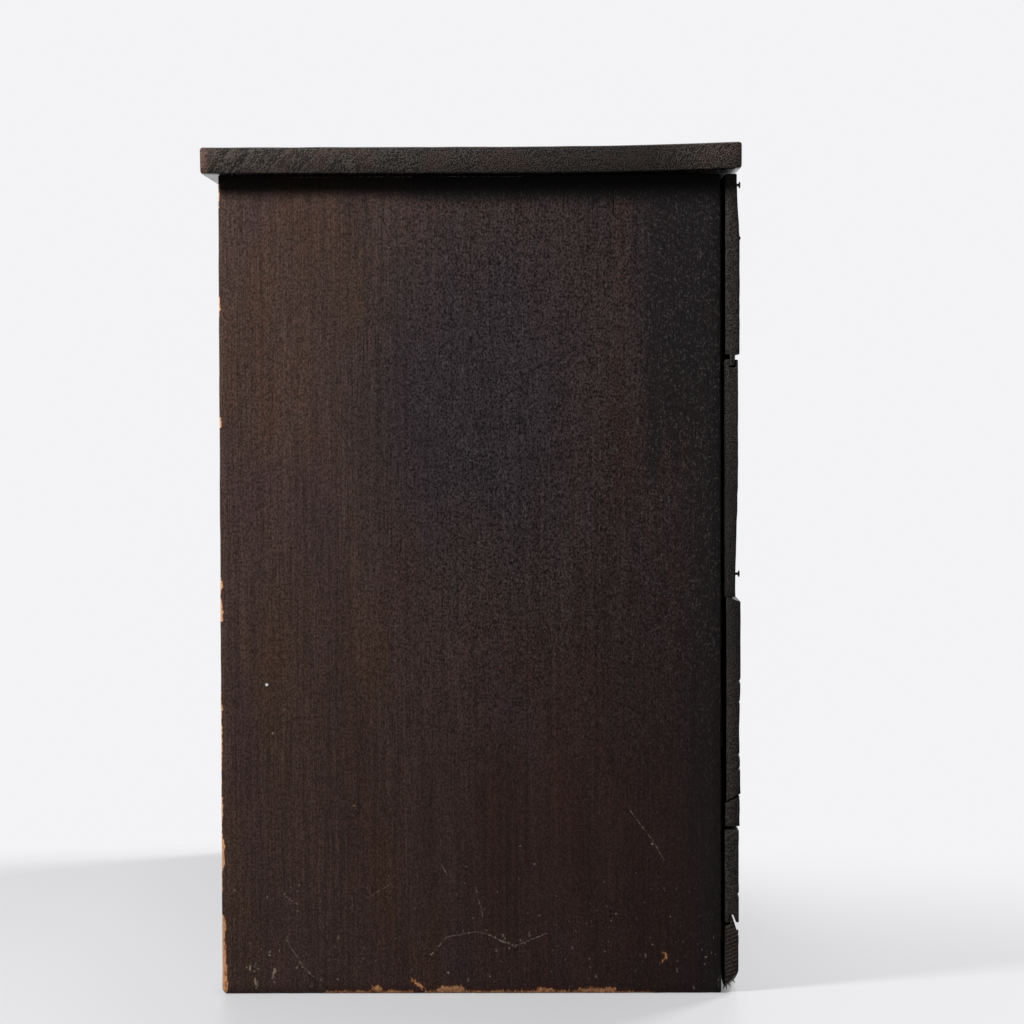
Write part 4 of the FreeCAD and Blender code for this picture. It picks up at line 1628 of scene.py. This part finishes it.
@dataclass
class BackWall:
    """Five tongue-and-groove boards nailed across the back, the third one split along its length."""

    thickness: float = 12 * MM
    tongue_inner: float = 4.95 * MM
    tongue_thickness: float = 4.5 * MM
    tongue_length: float = 9 * MM
    groove_depth: float = 6.6 * MM
    groove_clearance: float = 0.2 * MM
    split_gap: float = 0.5 * MM
    splinter_radius: float = 1.1 * MM
    boards: list[tuple[str, BackBoard]] = field(default_factory=list)
    heel: tuple[Vector, Vector] | None = None

    def build(self) -> None:
        """Model and dress the boards and the splinters of the lowest one."""
        self.boards = self.lay_out()
        # Boards from two logs take turns.
        finishes = [
            StainedPine(
                "stained_pine_back_" + log_name,
                Axis.X,
                early=early,
                late=late,
                blotch="#242120",
                ring_weight=0.3,
                worn=0.45,
                rough=0.7,
                ring_mm=ring_mm,
                pith=pith,
                shift=shift,
            ).material()
            for log_name, early, late, ring_mm, pith, shift in (
                ("odd", "#453c37", "#2a2625", 8.0, (0.31, 0.28), (0.0, 0.0, 0.0)),
                ("even", "#3c3430", "#252120", 6.0, (0.27, 0.44), (0.7, 0.3, 0.5)),
            )
        ]
        sawn = SawnEndGrain(
            "sawn_pine_back_end",
            "#3e3a35",
            "#181413",
            "#2d2320",
            saw_mm=1.5,
            saw_weight=0.6,
            saw_turn=math.radians(28),
            front=-1.0,
            fade=0.0,
            sooty=0.36,
            cracks=(
                *strokes(0.35, ((211, 246.5), (221, 245)), ((212, 185), (221, 186))),
                *strokes(0.5, ((208, 153.5), (215, 152.5))),
                *strokes(0.25, ((209, 502.5), (218, 500))),
            ),
        ).material()
        torn = SawnEndGrain(
            "torn_pine_back_end",
            "#403731",
            "#18120f",
            "#2d2019",
            saw_mm=1.5,
            saw_weight=0.1,
            front=-1.0,
            fade=0.0,
            ridge_mm=3.1,
        ).material()
        for node, board in self.boards:
            ends = torn if node == "back_board_5" else sawn
            finish = finishes[(int(node[-1]) - 1) % len(finishes)]
            dress(board.build(), CARCASE, finish, (node,), ends)
        bare = BarePine("torn_bare_pine", Axis.Z, "#f2e8de", "#d8c0a8", "#bfa28a").material()
        dress(self.splinters(), CARCASE, bare, ("back_board_5",))

    def lay_out(self) -> list[tuple[str, BackBoard]]:
        """Lay out the boards as they have shifted, warped, split and chipped.

        Returns:
            Each board's node and the board, not yet built, from the top down.
        """
        top = self.plank(1, 0.8 * MM, 0.3 * MM, EdgeForm.TONGUE, EdgeForm.PLAIN)
        top.pulls = (Pull(top.high.z, -2.3 * MM, 60 * MM),)
        top.chips = (Chip(623 * MM, 1.0 * MM),)
        second = self.plank(2, 0.0, 0.9 * MM, EdgeForm.PLAIN, EdgeForm.GROOVE, lift=self.tongue_length)
        second.pulls = (Pull(second.low.z, -2.4 * MM, 115 * MM),)
        # The third board is split along its length, from its back up to its outer face.
        inner, outer = Vector((0, 208.1, 157.4)) * MM, Vector((0, 221.3, 164.3)) * MM
        across = outer - inner
        below = Vector((0, across.z, -across.y))
        third = self.plank(
            3, -0.5 * MM, 0.0, EdgeForm.PLAIN, EdgeForm.PLAIN, bottom=inner.z - 1 * MM, rise=0.7 * MM
        )
        ledge = third.high - Vector((0, 0.5, 3.1)) * MM
        third.breaks = [(inner + UP * self.split_gap, below), (ledge, Vector((0, 3.1, 9.8)))]
        third.pulls = (Pull(216 * MM, -1.1 * MM, 60 * MM),)
        third.chips = tuple(Chip(height * MM, -1.7 * MM) for height in (257.8, 241.3, 196.7, 185.1))
        strip = self.plank(
            3, 0.0, 0.3 * MM, EdgeForm.PLAIN, EdgeForm.PLAIN, lift=8.3 * MM, top=outer.z + 1 * MM
        )
        strip.name = "back_board_3_strip"
        strip.breaks = [(inner - UP * self.split_gap, -below)]
        fourth = self.plank(
            4, -1.2 * MM, 0.4 * MM, EdgeForm.GROOVE, EdgeForm.PLAIN, lift=-0.6 * MM, rise=0.7 * MM
        )
        groove = self.tongue_line()[1] + self.groove_clearance
        fourth.groove_corner = Vector((0, groove, fourth.low.z + self.groove_depth))
        fourth.chips = (Chip(81 * MM, -1.7 * MM),)
        fifth = self.plank(5, -1.0 * MM, 0.8 * MM, EdgeForm.PLAIN, EdgeForm.TONGUE)
        heel = Vector((fifth.high.x, fifth.low.y, fifth.low.z + 2.4 * MM))
        shoulder = Vector((0, 217.9, 52.0)) * MM
        self.heel = (heel, Vector((0.27, 1.06, -1.0)))
        fifth.breaks = [self.heel, (shoulder, Vector((0, 13.0, 4.1)))]
        nodes = (1, 2, 3, 3, 4, 5)
        boards = (top, second, third, strip, fourth, fifth)
        return [(f"back_board_{number}", board) for number, board in zip(nodes, boards)]

    def tongue_line(self) -> tuple[float, float]:
        """Give the inner and outer faces of every tongue."""
        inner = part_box("shelf_1")[1].y + self.tongue_inner
        return inner, inner + self.tongue_thickness

    def plank(
        self,
        number: int,
        shift: float,
        trim: float,
        lower: EdgeForm,
        upper: EdgeForm,
        lift: float = 0.0,
        rise: float = 0.0,
        bottom: float | None = None,
        top: float | None = None,
    ) -> BackBoard:
        """Lay out one board with its tongues and grooves.

        Args:
            number: The board's number, from the top down.
            shift: How far it has moved out.
            trim: How much shorter it is at each end.
            lower: Form of the lower edge.
            upper: Form of the upper edge.
            lift: How much higher its lower edge is.
            rise: How much higher its upper edge is.
            bottom: Height of its lower edge, where the solid is split.
            top: Height of its upper edge, where the solid is split.

        Returns:
            The board, not yet built.
        """
        low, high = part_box(f"back_board_{number}")
        face = high.y if top is None else low.y + self.thickness
        low = Vector((low.x + trim, face + shift - self.thickness, bottom or low.z + lift))
        high = Vector((high.x - trim, face + shift, top or high.z + rise))
        notches: list[tuple[Vector, Vector]] = []
        spare = 1 * MM
        inner, outer = self.tongue_line()
        for form, edge, inward in ((lower, low.z, 1.0), (upper, high.z, -1.0)):
            reach = self.groove_depth if form is EdgeForm.GROOVE else self.tongue_length
            start, end = sorted((edge - inward * spare, edge + inward * reach))
            if form is EdgeForm.TONGUE:
                notches.append((Vector((low.x, low.y - spare, start)), Vector((high.x, inner, end))))
                notches.append((Vector((low.x, outer, start)), Vector((high.x, high.y + spare, end))))
            elif form is EdgeForm.GROOVE:
                free = self.groove_clearance
                notches.append((Vector((low.x, inner - free, start)), Vector((high.x, outer + free, end))))
        return BackBoard(
            f"back_board_{number}_plank",
            low,
            high,
            Lie.UPRIGHT,
            7 * MM,
            0.7 * MM,
            cross_step=30 * MM,
            notches=notches,
            weathering=Weathering(6 * MM, 0.5 * MM, 9 * MM),
        )

    def splinters(self) -> bpy.types.Object:
        """Model the pale splinters that hang from the lowest board's broken heel.

        Returns:
            The splinters, joined.
        """
        bpy.ops.object.select_all(action="DESELECT")
        bpy.ops.mesh.primitive_cone_add(
            vertices=6, radius1=self.splinter_radius, radius2=0.1 * MM, depth=1 * MM
        )
        sliver = bpy.context.object
        with editing(sliver):
            pick(sliver, Domain.VERT, lambda vertex: vertex.co.z < 0)
            bpy.ops.transform.resize(value=(0.6, 1, 1), center_override=(0, 0, 0))
            bpy.ops.mesh.select_all(action="SELECT")
            bpy.ops.transform.translate(value=(0, 0, 0.5 * MM))
        place, normal = self.heel
        copies = []
        # Each splinter's place across the heel and length in millimetres, and its turn in degrees.
        slivers = (
            (0.4, 4.4, 165),
            (1.2, 5.6, 190),
            (2.2, 4.2, 150),
            (3.2, 7.0, 200),
            (4.4, 5.4, 172),
            (5.8, 6.2, 215),
        )
        for across, length, turn in slivers:
            root = place + Vector((-1.6, across, across * normal.y + 1.2)) * MM
            turned = Matrix.Rotation(math.radians(turn), 4, "X")
            drawn = Matrix.Diagonal((1, 1, length, 1))
            copies.append(twin(sliver, "splinter", Matrix.Translation(root) @ turned @ drawn))
        bpy.data.objects.remove(sliver)
        piece = join(copies, "back_board_5_splinters")
        smooth(piece)
        return piece

    def face_at(self, across: float, height: float) -> float:
        """Give where the wall's outer face lies.

        Args:
            across: Place from left to right.
            height: Height above the floor.

        Returns:
            The face's place from front to back.
        """
        board = next(board for _, board in self.boards if board.low.z <= height <= board.high.z)
        return board.high.y + sum(pull.at(board.high.x - across, height) for pull in board.pulls)


@dataclass
class Nails:
    """Round wire nails of the back and the top, driven flush, two of them backed out."""

    head_radius: float = 2.2 * MM
    loose_radius: float = 2.7 * MM
    head_thickness: float = 0.9 * MM
    cone: float = 0.9 * MM
    shank_radius: float = 1.1 * MM
    shank_length: float = 9 * MM
    stand: float = 0.08 * MM
    edge_distance: float = 19 * MM
    top_edge_distance: float = 9 * MM
    top_inset: float = 45 * MM
    top_flat_run: float = 250 * MM
    top_thickness: float = 22 * MM

    def build(self, wall: BackWall) -> None:
        """Model two kinds of nail, copy them to every place and dress the two groups.

        Args:
            wall: The back that is nailed.
        """
        finish = RustedIron("rusted_iron_nail").material()
        flush, loose = self.model(self.head_radius), self.model(self.loose_radius)
        back = []
        for place, is_loose in self.back_places(wall):
            back.append(twin(loose if is_loose else flush, "nail", Matrix.Translation(place)))
        dress(join(back, "back_board_nail_heads"), CARCASE, finish, ("back_board_nails",))
        stood = Matrix.Rotation(math.pi / 2, 4, "X")
        top = [twin(flush, "nail", Matrix.Translation(place) @ stood) for place in self.top_places()]
        dress(join(top, "top_nail_heads"), CARCASE, finish, ("top_nails",))
        for master in (flush, loose):
            bpy.data.objects.remove(master)

    def model(self, radius: float) -> bpy.types.Object:
        """Model a nail that points along -Y, the top of its head at the origin.

        Args:
            radius: Radius of the head.

        Returns:
            The nail.
        """
        under = -self.head_thickness - self.cone
        bpy.ops.object.select_all(action="DESELECT")
        bpy.ops.mesh.primitive_cylinder_add(
            vertices=12,
            radius=self.shank_radius,
            depth=self.shank_length,
            location=(0, under - self.shank_length / 2, 0),
            rotation=(math.pi / 2, 0, 0),
        )
        nail = bpy.context.object
        bpy.ops.object.transform_apply(location=True, rotation=True, scale=True)
        swell = radius / self.shank_radius
        with editing(nail):
            pick(nail, Domain.FACE, lambda face: face.normal.y > 0.9)
            for rise, grow in (
                (self.cone, swell), (self.head_thickness * 0.7, 1.0), (self.head_thickness * 0.3, 0.7)
            ):
                bpy.ops.mesh.extrude_region_move(TRANSFORM_OT_translate={"value": (0, rise, 0)})
                bpy.ops.transform.resize(value=(grow, 1, grow), center_override=(0, 0, 0))
        smooth(nail)
        return nail

    def columns(self) -> list[float]:
        """Give the middles of the uprights that are nailed to, left to right."""
        nodes = ["side_panel_left", *(f"partition_{index}" for index in range(1, 5)), "side_panel_right"]
        return [sum(corner.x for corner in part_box(node)) / 2 for node in nodes]

    def back_places(self, wall: BackWall) -> list[tuple[Vector, bool]]:
        """Give the places of the back boards' nails.

        Args:
            wall: The back that is nailed.

        Returns:
            Where the top of each head lies, and whether the nail is loose.
        """
        first, second, third, strip, fourth, _ = (board for _, board in wall.boards)
        edge = self.edge_distance
        loose = {first.high.z - self.top_edge_distance: 2.9 * MM, second.low.z + edge: 3.5 * MM}
        heights = (
            sum(corner.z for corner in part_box("bottom_board")) / 2,
            fourth.low.z + edge,
            fourth.high.z - edge,
            (strip.low.z + strip.high.z) / 2 - 2 * MM,
            third.low.z + edge + 5 * MM,
            third.high.z - edge,
            second.high.z - edge,
            first.low.z + wall.tongue_length + edge,
            *loose,
        )
        columns = self.columns()
        places = []
        for height in heights:
            for across in columns:
                backed_out = height in loose and across == columns[-1]
                out = loose[height] if backed_out else self.stand
                places.append((Vector((across, wall.face_at(across, height) + out, height)), backed_out))
        return places

    def top_places(self) -> list[Vector]:
        """Give the places of the top board's nails."""
        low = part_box("top_board")[0]
        level = low.z + self.top_thickness + self.stand
        depths = (low.y + self.top_inset, low.y + self.top_flat_run - self.top_inset)
        return [Vector((across, depth, level)) for across in self.columns() for depth in depths]


# Drawers


@dataclass
class DrawerFace(Board):
    """Drawer front whose back is rebated at both ends for the sides."""

    core_half: float = 0.08
    core_depth: float = 9 * MM

    def shape(self, piece: bpy.types.Object) -> None:
        """Extrude the core between the rebates from the lip's back.

        Args:
            piece: The board in edit mode.
        """
        middle = (self.low.x + self.high.x) / 2
        for side in (-1, 1):
            cut_through(Vector((middle + side * self.core_half, 0, 0)), Vector((1, 0, 0)))

        def in_core(face: bpy.types.MeshPolygon) -> bool:
            """Tell whether a face of the lip's back lies between the rebates."""
            return face.normal.y > 0.9 and abs(face.center.x - middle) < self.core_half

        pick(piece, Domain.FACE, in_core)
        bpy.ops.mesh.extrude_region_move(TRANSFORM_OT_translate={"value": (0, self.core_depth, 0)})


@dataclass
class Drawers:
    """Twenty drawers, modelled once and copied: a face, a turned knob and a nailed box."""

    first: str = "drawer_a1"
    next_in_both: str = "drawer_b2"
    spare_bays: tuple[int, int] = (4, 8)
    lip: float = 9 * MM
    face_thickness: float = 18 * MM
    side_thickness: float = 9 * MM
    back_thickness: float = 9 * MM
    back_inset: float = 8 * MM
    back_drop: float = 5 * MM
    bottom_lift: float = 6 * MM
    bottom_thickness: float = 5 * MM
    groove_depth: float = 3.8 * MM
    back_housing: float = 3.9 * MM
    knob_foot_radius: float = 8.5 * MM
    knob_foot_height: float = 1.6 * MM
    knob_neck_radius: float = 5.5 * MM
    knob_rim_height: float = 11.5 * MM
    knob_rim_round: float = 5 * MM
    knob_radius: float = 13 * MM
    knob_projection: float = 17 * MM
    knob_sides: int = 40
    round_steps: int = 6
    wear: Weathering = Weathering(8 * MM, 1.0 * MM, 11 * MM)
    box_wear: Weathering = Weathering(6 * MM, 0.9 * MM, 12 * MM)

    def build(self, joints: list[dict[str, Any]]) -> None:
        """Model one drawer, then copy and dress one for each joint.

        Args:
            joints: The frame's joints, one for each drawer.
        """
        names = [joint["child"] for joint in joints]
        face_low, face_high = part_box(self.first + "_front")
        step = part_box(self.next_in_both + "_front")[0] - face_low
        pitch = (abs(step.x), abs(step.z))
        margin_x = (pitch[0] - (face_high.x - face_low.x)) / 2
        margin_z = (pitch[1] - (face_high.z - face_low.z)) / 2
        # The cells that give each drawer its own figure start some bays beside and below the first one.
        across, down = self.spare_bays
        start = (face_low.x - margin_x - across * pitch[0], face_low.z - margin_z - down * pitch[1])
        face_finish = StainedPine(
            "stained_pine_drawer_front", Axis.X, worn=0.92, rough=0.48, pitch=pitch, pitch_start=start
        ).material()
        knob_finish = StainedPine(
            "stained_turned_knob",
            Axis.Y,
            early="#3a2c27",
            late="#241b19",
            worn=0.2,
            rough=0.34,
            ring_mm=2.5,
            fibre_mm=0.7,
        ).material()
        box_finish = BarePine("aged_pine_drawer_box", Axis.Y).material()
        masters = (self.model_face(), self.model_knob(), self.model_box())
        parts = (
            ("face", "front", "stained_pine", face_finish),
            ("knob", "front", "stained_pine", knob_finish),
            ("tray", "box", "drawer_pine", box_finish),
        )
        for name in names:
            move = Matrix.Translation(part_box(name + "_front")[0] - face_low)
            for master, (part, node, slot, finish) in zip(masters, parts):
                dress(twin(master, f"{name}_{part}", move), name, finish, (f"{name}_{node}",))
        for master in masters:
            bpy.data.objects.remove(master)

    def model_face(self) -> bpy.types.Object:
        """Model the first drawer's front board.

        Returns:
            The board.
        """
        low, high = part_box(self.first + "_front")
        box_low, box_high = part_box(self.first + "_box")
        front = low.y + self.knob_projection
        face = DrawerFace(
            "face",
            Vector((low.x, front, low.z)),
            Vector((high.x, front + self.lip, high.z)),
            Lie.FACING,
            9 * MM,
            1.6 * MM,
            weathering=self.wear,
            core_half=(box_high.x - box_low.x) / 2 - self.side_thickness,
            core_depth=self.face_thickness - self.lip,
        )
        return face.build()

    def knob_profile(self) -> list[tuple[float, float]]:
        """Give the knob's radius and its height above the drawer's face, from foot to crown.

        Returns:
            Pairs of radius and height.
        """
        foot_top = 0.95 * self.knob_foot_radius
        neck_height = self.knob_rim_height - self.knob_rim_round
        dome_rise = self.knob_projection - self.knob_rim_height
        turns = [math.pi / 2 * step / self.round_steps for step in range(self.round_steps + 1)]
        points = [
            (self.knob_foot_radius, 0.0),
            (self.knob_foot_radius, 0.7 * self.knob_foot_height),
            (foot_top, self.knob_foot_height),
        ]
        for turn in turns[1:]:
            radius = self.knob_neck_radius + (foot_top - self.knob_neck_radius) * (1 - math.sin(turn))
            points.append(
                (radius, self.knob_foot_height + (neck_height - self.knob_foot_height) * (1 - math.cos(turn)))
            )
        for turn in turns:
            radius = self.knob_radius - self.knob_rim_round * (1 - math.sin(turn))
            points.append((radius, self.knob_rim_height - self.knob_rim_round * math.cos(turn)))
        for turn in turns[1:-1]:
            points.append(
                (self.knob_radius * math.cos(turn), self.knob_rim_height + dome_rise * math.sin(turn))
            )
        return [*points, (0.08 * self.knob_radius, self.knob_projection)]

    def model_knob(self) -> bpy.types.Object:
        """Turn the first drawer's knob from a disc, step by step.

        Returns:
            The knob.
        """
        low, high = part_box(self.first + "_front")
        middle = Vector(((low.x + high.x) / 2, low.y + self.knob_projection, (low.z + high.z) / 2))
        profile = self.knob_profile()
        bpy.ops.object.select_all(action="DESELECT")
        bpy.ops.mesh.primitive_circle_add(
            vertices=self.knob_sides,
            radius=profile[0][0],
            fill_type="NGON",
            location=middle,
            rotation=(math.pi / 2, 0, 0),
        )
        knob = bpy.context.object
        bpy.ops.object.transform_apply(location=True, rotation=True, scale=True)
        with editing(knob):
            for (radius, height), (next_radius, next_height) in zip(profile, profile[1:]):
                bpy.ops.mesh.extrude_region_move(
                    TRANSFORM_OT_translate={"value": (0, height - next_height, 0)}
                )
                grow = next_radius / radius
                bpy.ops.transform.resize(value=(grow, 1, grow), center_override=middle)
            bpy.ops.mesh.select_all(action="SELECT")
            bpy.ops.mesh.normals_make_consistent(inside=False)
        smooth(knob, 50)
        return knob

    def model_box(self) -> bpy.types.Object:
        """Model the first drawer's sides, back and bottom.

        Returns:
            The four boards, joined.
        """
        low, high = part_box(self.first + "_box")
        side = self.side_thickness
        floor = low.z + self.bottom_lift
        floor_top = floor + self.bottom_thickness
        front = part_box(self.first + "_front")[0].y + self.knob_projection
        shoulder = front + self.lip
        bottom_front = front + self.face_thickness - self.groove_depth
        back_end = high.y - self.back_inset
        inner_low, inner_high = low.x + side, high.x - side
        housed, grooved = self.back_housing, self.groove_depth
        spans = (
            ("side_left", (low.x, shoulder, low.z), (inner_low, high.y, high.z), Lie.UPRIGHT),
            ("side_right", (inner_high, shoulder, low.z), tuple(high), Lie.UPRIGHT),
            (
                "back",
                (inner_low - housed, back_end - self.back_thickness, floor_top),
                (inner_high + housed, back_end, high.z - self.back_drop),
                Lie.FACING,
            ),
            (
                "bottom",
                (inner_low - grooved, bottom_front, floor),
                (inner_high + grooved, high.y, floor_top),
                Lie.FLAT,
            ),
        )
        boards = []
        for name, start, end, lie in spans:
            board = Board(name, Vector(start), Vector(end), lie, 18 * MM, 0.8 * MM, weathering=self.box_wear)
            boards.append(board.build())
        return join(boards, "tray")


# Studio


@dataclass(frozen=True)
class Lamp:
    """A square lamp: its name, its place, its width in metres and its power in watts."""

    name: str
    place: tuple[float, float, float]
    size: float
    power: float


@dataclass
class Studio:
    """Pale floor, white surroundings, soft lamps and the camera of a side view."""

    backdrop: str = "#f3f3f5"
    floor: str = "#b4b4b6"
    floor_seen_dark: str = "#303031"
    floor_rough: float = 0.42
    # The floor's glow on the left, in the middle and on the right: weaker in the middle, in front of the
    # chest, as painted shade, and stronger on the right, as painted light over the key lamp's shadow.
    floor_glow: tuple[float, float, float] = (0.49, 0.37, 0.57)
    camera_side_light: float = 0.03
    backdrop_side_light: float = 0.45
    camera_place: tuple[float, float, float] = (3.6146, 0.0536, 0.5024)
    camera_yaw: float = math.radians(0.38)
    camera_pitch: float = math.radians(1.913)
    camera_roll: float = math.radians(-0.154)
    lens: float = 133.1
    sensor: float = 36.0
    floor_radius: float = 6.0
    lamps: tuple[Lamp, ...] = (
        Lamp("key", (1.3, -1.3, 1.9), 0.45, 76.0),
        Lamp("behind", (-1.45, 1.35, 2.2), 0.55, 76.0),
    )
    lamp_target: tuple[float, float, float] = (0.3, 0.0, 0.35)
    # Where the floor turns white: from and to how far from the camera's side, on the left and on the right.
    fade_starts: tuple[float, float] = (1.42, 0.75)
    fade_ends: tuple[float, float] = (1.58, 1.55)
    fade_centre: tuple[float, float, float] = (1.0, 0.0, 0.0)

    def build(self) -> None:
        """Set up the scene around the chest."""
        bpy.context.scene.view_settings.view_transform = "Standard"
        self.build_world()
        self.build_floor()
        self.build_lamps()
        self.build_camera()

    def build_world(self) -> None:
        """Light the scene evenly and show white behind it."""
        world = bpy.data.worlds.new("studio")
        world.use_nodes = True
        bpy.context.scene.world = world
        tree = world.node_tree
        tree.nodes.clear()
        look = add(tree, Kind.X, add(tree, Kind.LOOK))
        away = add(tree, Kind.STEP, look, 0.1, -0.3)
        mirrored = add(tree, Kind.TIMES, add(tree, Kind.GLOSSY_RAY), away)
        seen = add(tree, Kind.MOST, add(tree, Kind.CAMERA_RAY), mirrored)
        seen = add(tree, Kind.MOST, seen, add(tree, Kind.CLEAR_RAY))
        level = add(tree, Kind.STEP, look, 0.1, -0.3, self.camera_side_light, self.backdrop_side_light)
        light = add(tree, Kind.SKY, (1.0, 1.0, 1.0, 1.0), level)
        shown = add(tree, Kind.SKY, linear(self.backdrop), 1.0)
        add(tree, Kind.WORLD_OUTPUT, add(tree, Kind.MIX_SURFACE, seen, light, shown))

    def build_floor(self) -> None:
        """Lay a pale floor that fades into the white surroundings."""
        bpy.ops.object.select_all(action="DESELECT")
        bpy.ops.mesh.primitive_circle_add(vertices=96, radius=self.floor_radius, fill_type="NGON")
        floor = bpy.context.object
        floor.name = "studio_floor"
        floor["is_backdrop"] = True
        material, tree = blank_finish("painted_studio_floor")
        place = add(tree, Kind.PLACE)
        bounced = add(tree, Kind.DIFFUSE_RAY)
        colour = add(tree, Kind.MIX, bounced, linear(self.floor), linear(self.floor_seen_dark))
        paint = add(tree, Kind.SURFACE, colour, self.floor_rough)
        seen = add(tree, Kind.MOST, add(tree, Kind.CAMERA_RAY), add(tree, Kind.GLOSSY_RAY))
        seen = add(tree, Kind.MOST, seen, add(tree, Kind.CLEAR_RAY))
        low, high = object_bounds()
        beside = add(tree, Kind.SIZES, add(tree, Kind.FROM, place, (low + high) / 2))
        beside = add(tree, Kind.FROM, beside, (high - low) / 2)
        outside = add(tree, Kind.MOST, add(tree, Kind.X, beside), add(tree, Kind.Y, beside))
        lit = add(tree, Kind.STEP, outside, -0.03, 0.0)
        away = add(tree, Kind.GAP, place, self.fade_centre)
        side = add(tree, Kind.Y, place)
        # The glow changes from side to side: painted shade in front of the chest, painted light to its right.
        left, middle, right = self.floor_glow
        glow = add(tree, Kind.STEP, side, 0.05, 0.4, middle, right)
        glow = add(tree, Kind.MOST, glow, add(tree, Kind.STEP, side, -0.2, -0.4, middle, left))
        start, end = (
            add(tree, Kind.STEP, side, 0.0, 0.35, *pair) for pair in (self.fade_starts, self.fade_ends)
        )
        fade = add(tree, Kind.STEP, away, start, end, glow, 1.0)
        fade = add(tree, Kind.TIMES, add(tree, Kind.TIMES, fade, lit), seen)
        white = add(tree, Kind.GLOW, linear(self.backdrop), 1.0)
        add(tree, Kind.OUTPUT, add(tree, Kind.MIX_SURFACE, fade, paint, white))
        floor.data.materials.append(material)

    def build_lamps(self) -> None:
        """Hang a lamp above the chest's front corner and one behind it."""
        for lamp in self.lamps:
            light = bpy.data.lights.new(lamp.name, "AREA")
            light.shape = "SQUARE"
            light.size = lamp.size
            light.energy = lamp.power
            holder = bpy.data.objects.new(lamp.name, light)
            holder.location = lamp.place
            aim = Vector(self.lamp_target) - Vector(lamp.place)
            holder.rotation_euler = aim.to_track_quat("-Z", "Y").to_euler()
            bpy.context.scene.collection.objects.link(holder)

    def build_camera(self) -> None:
        """Stand the camera beside the chest, looking at its right-hand side."""
        level = math.cos(self.camera_pitch)
        ahead = -Vector(
            (
                level * math.cos(self.camera_yaw),
                level * math.sin(self.camera_yaw),
                math.sin(self.camera_pitch),
            )
        )
        right = ahead.cross(UP).normalized()
        up = right.cross(ahead)
        turn = math.cos(self.camera_roll), math.sin(self.camera_roll)
        right, up = right * turn[0] + up * turn[1], up * turn[0] - right * turn[1]
        camera = bpy.data.cameras.new("side_camera")
        camera.lens = self.lens
        camera.sensor_width = self.sensor
        holder = bpy.data.objects.new("side_camera", camera)
        facing = Matrix((right, up, -ahead)).transposed().to_4x4()
        holder.matrix_world = Matrix.Translation(self.camera_place) @ facing
        bpy.context.scene.collection.objects.link(holder)
        bpy.context.scene.camera = holder


def main() -> None:
    """Build the chest's looks around the frame."""
    logging.basicConfig(level=logging.INFO, format="%(name)s: %(message)s")
    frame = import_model()
    Carcase().build()
    wall = BackWall()
    wall.build()
    Nails().build(wall)
    Drawers().build(frame["joints"])
    Studio().build()


if __name__ == "__main__":
    main()
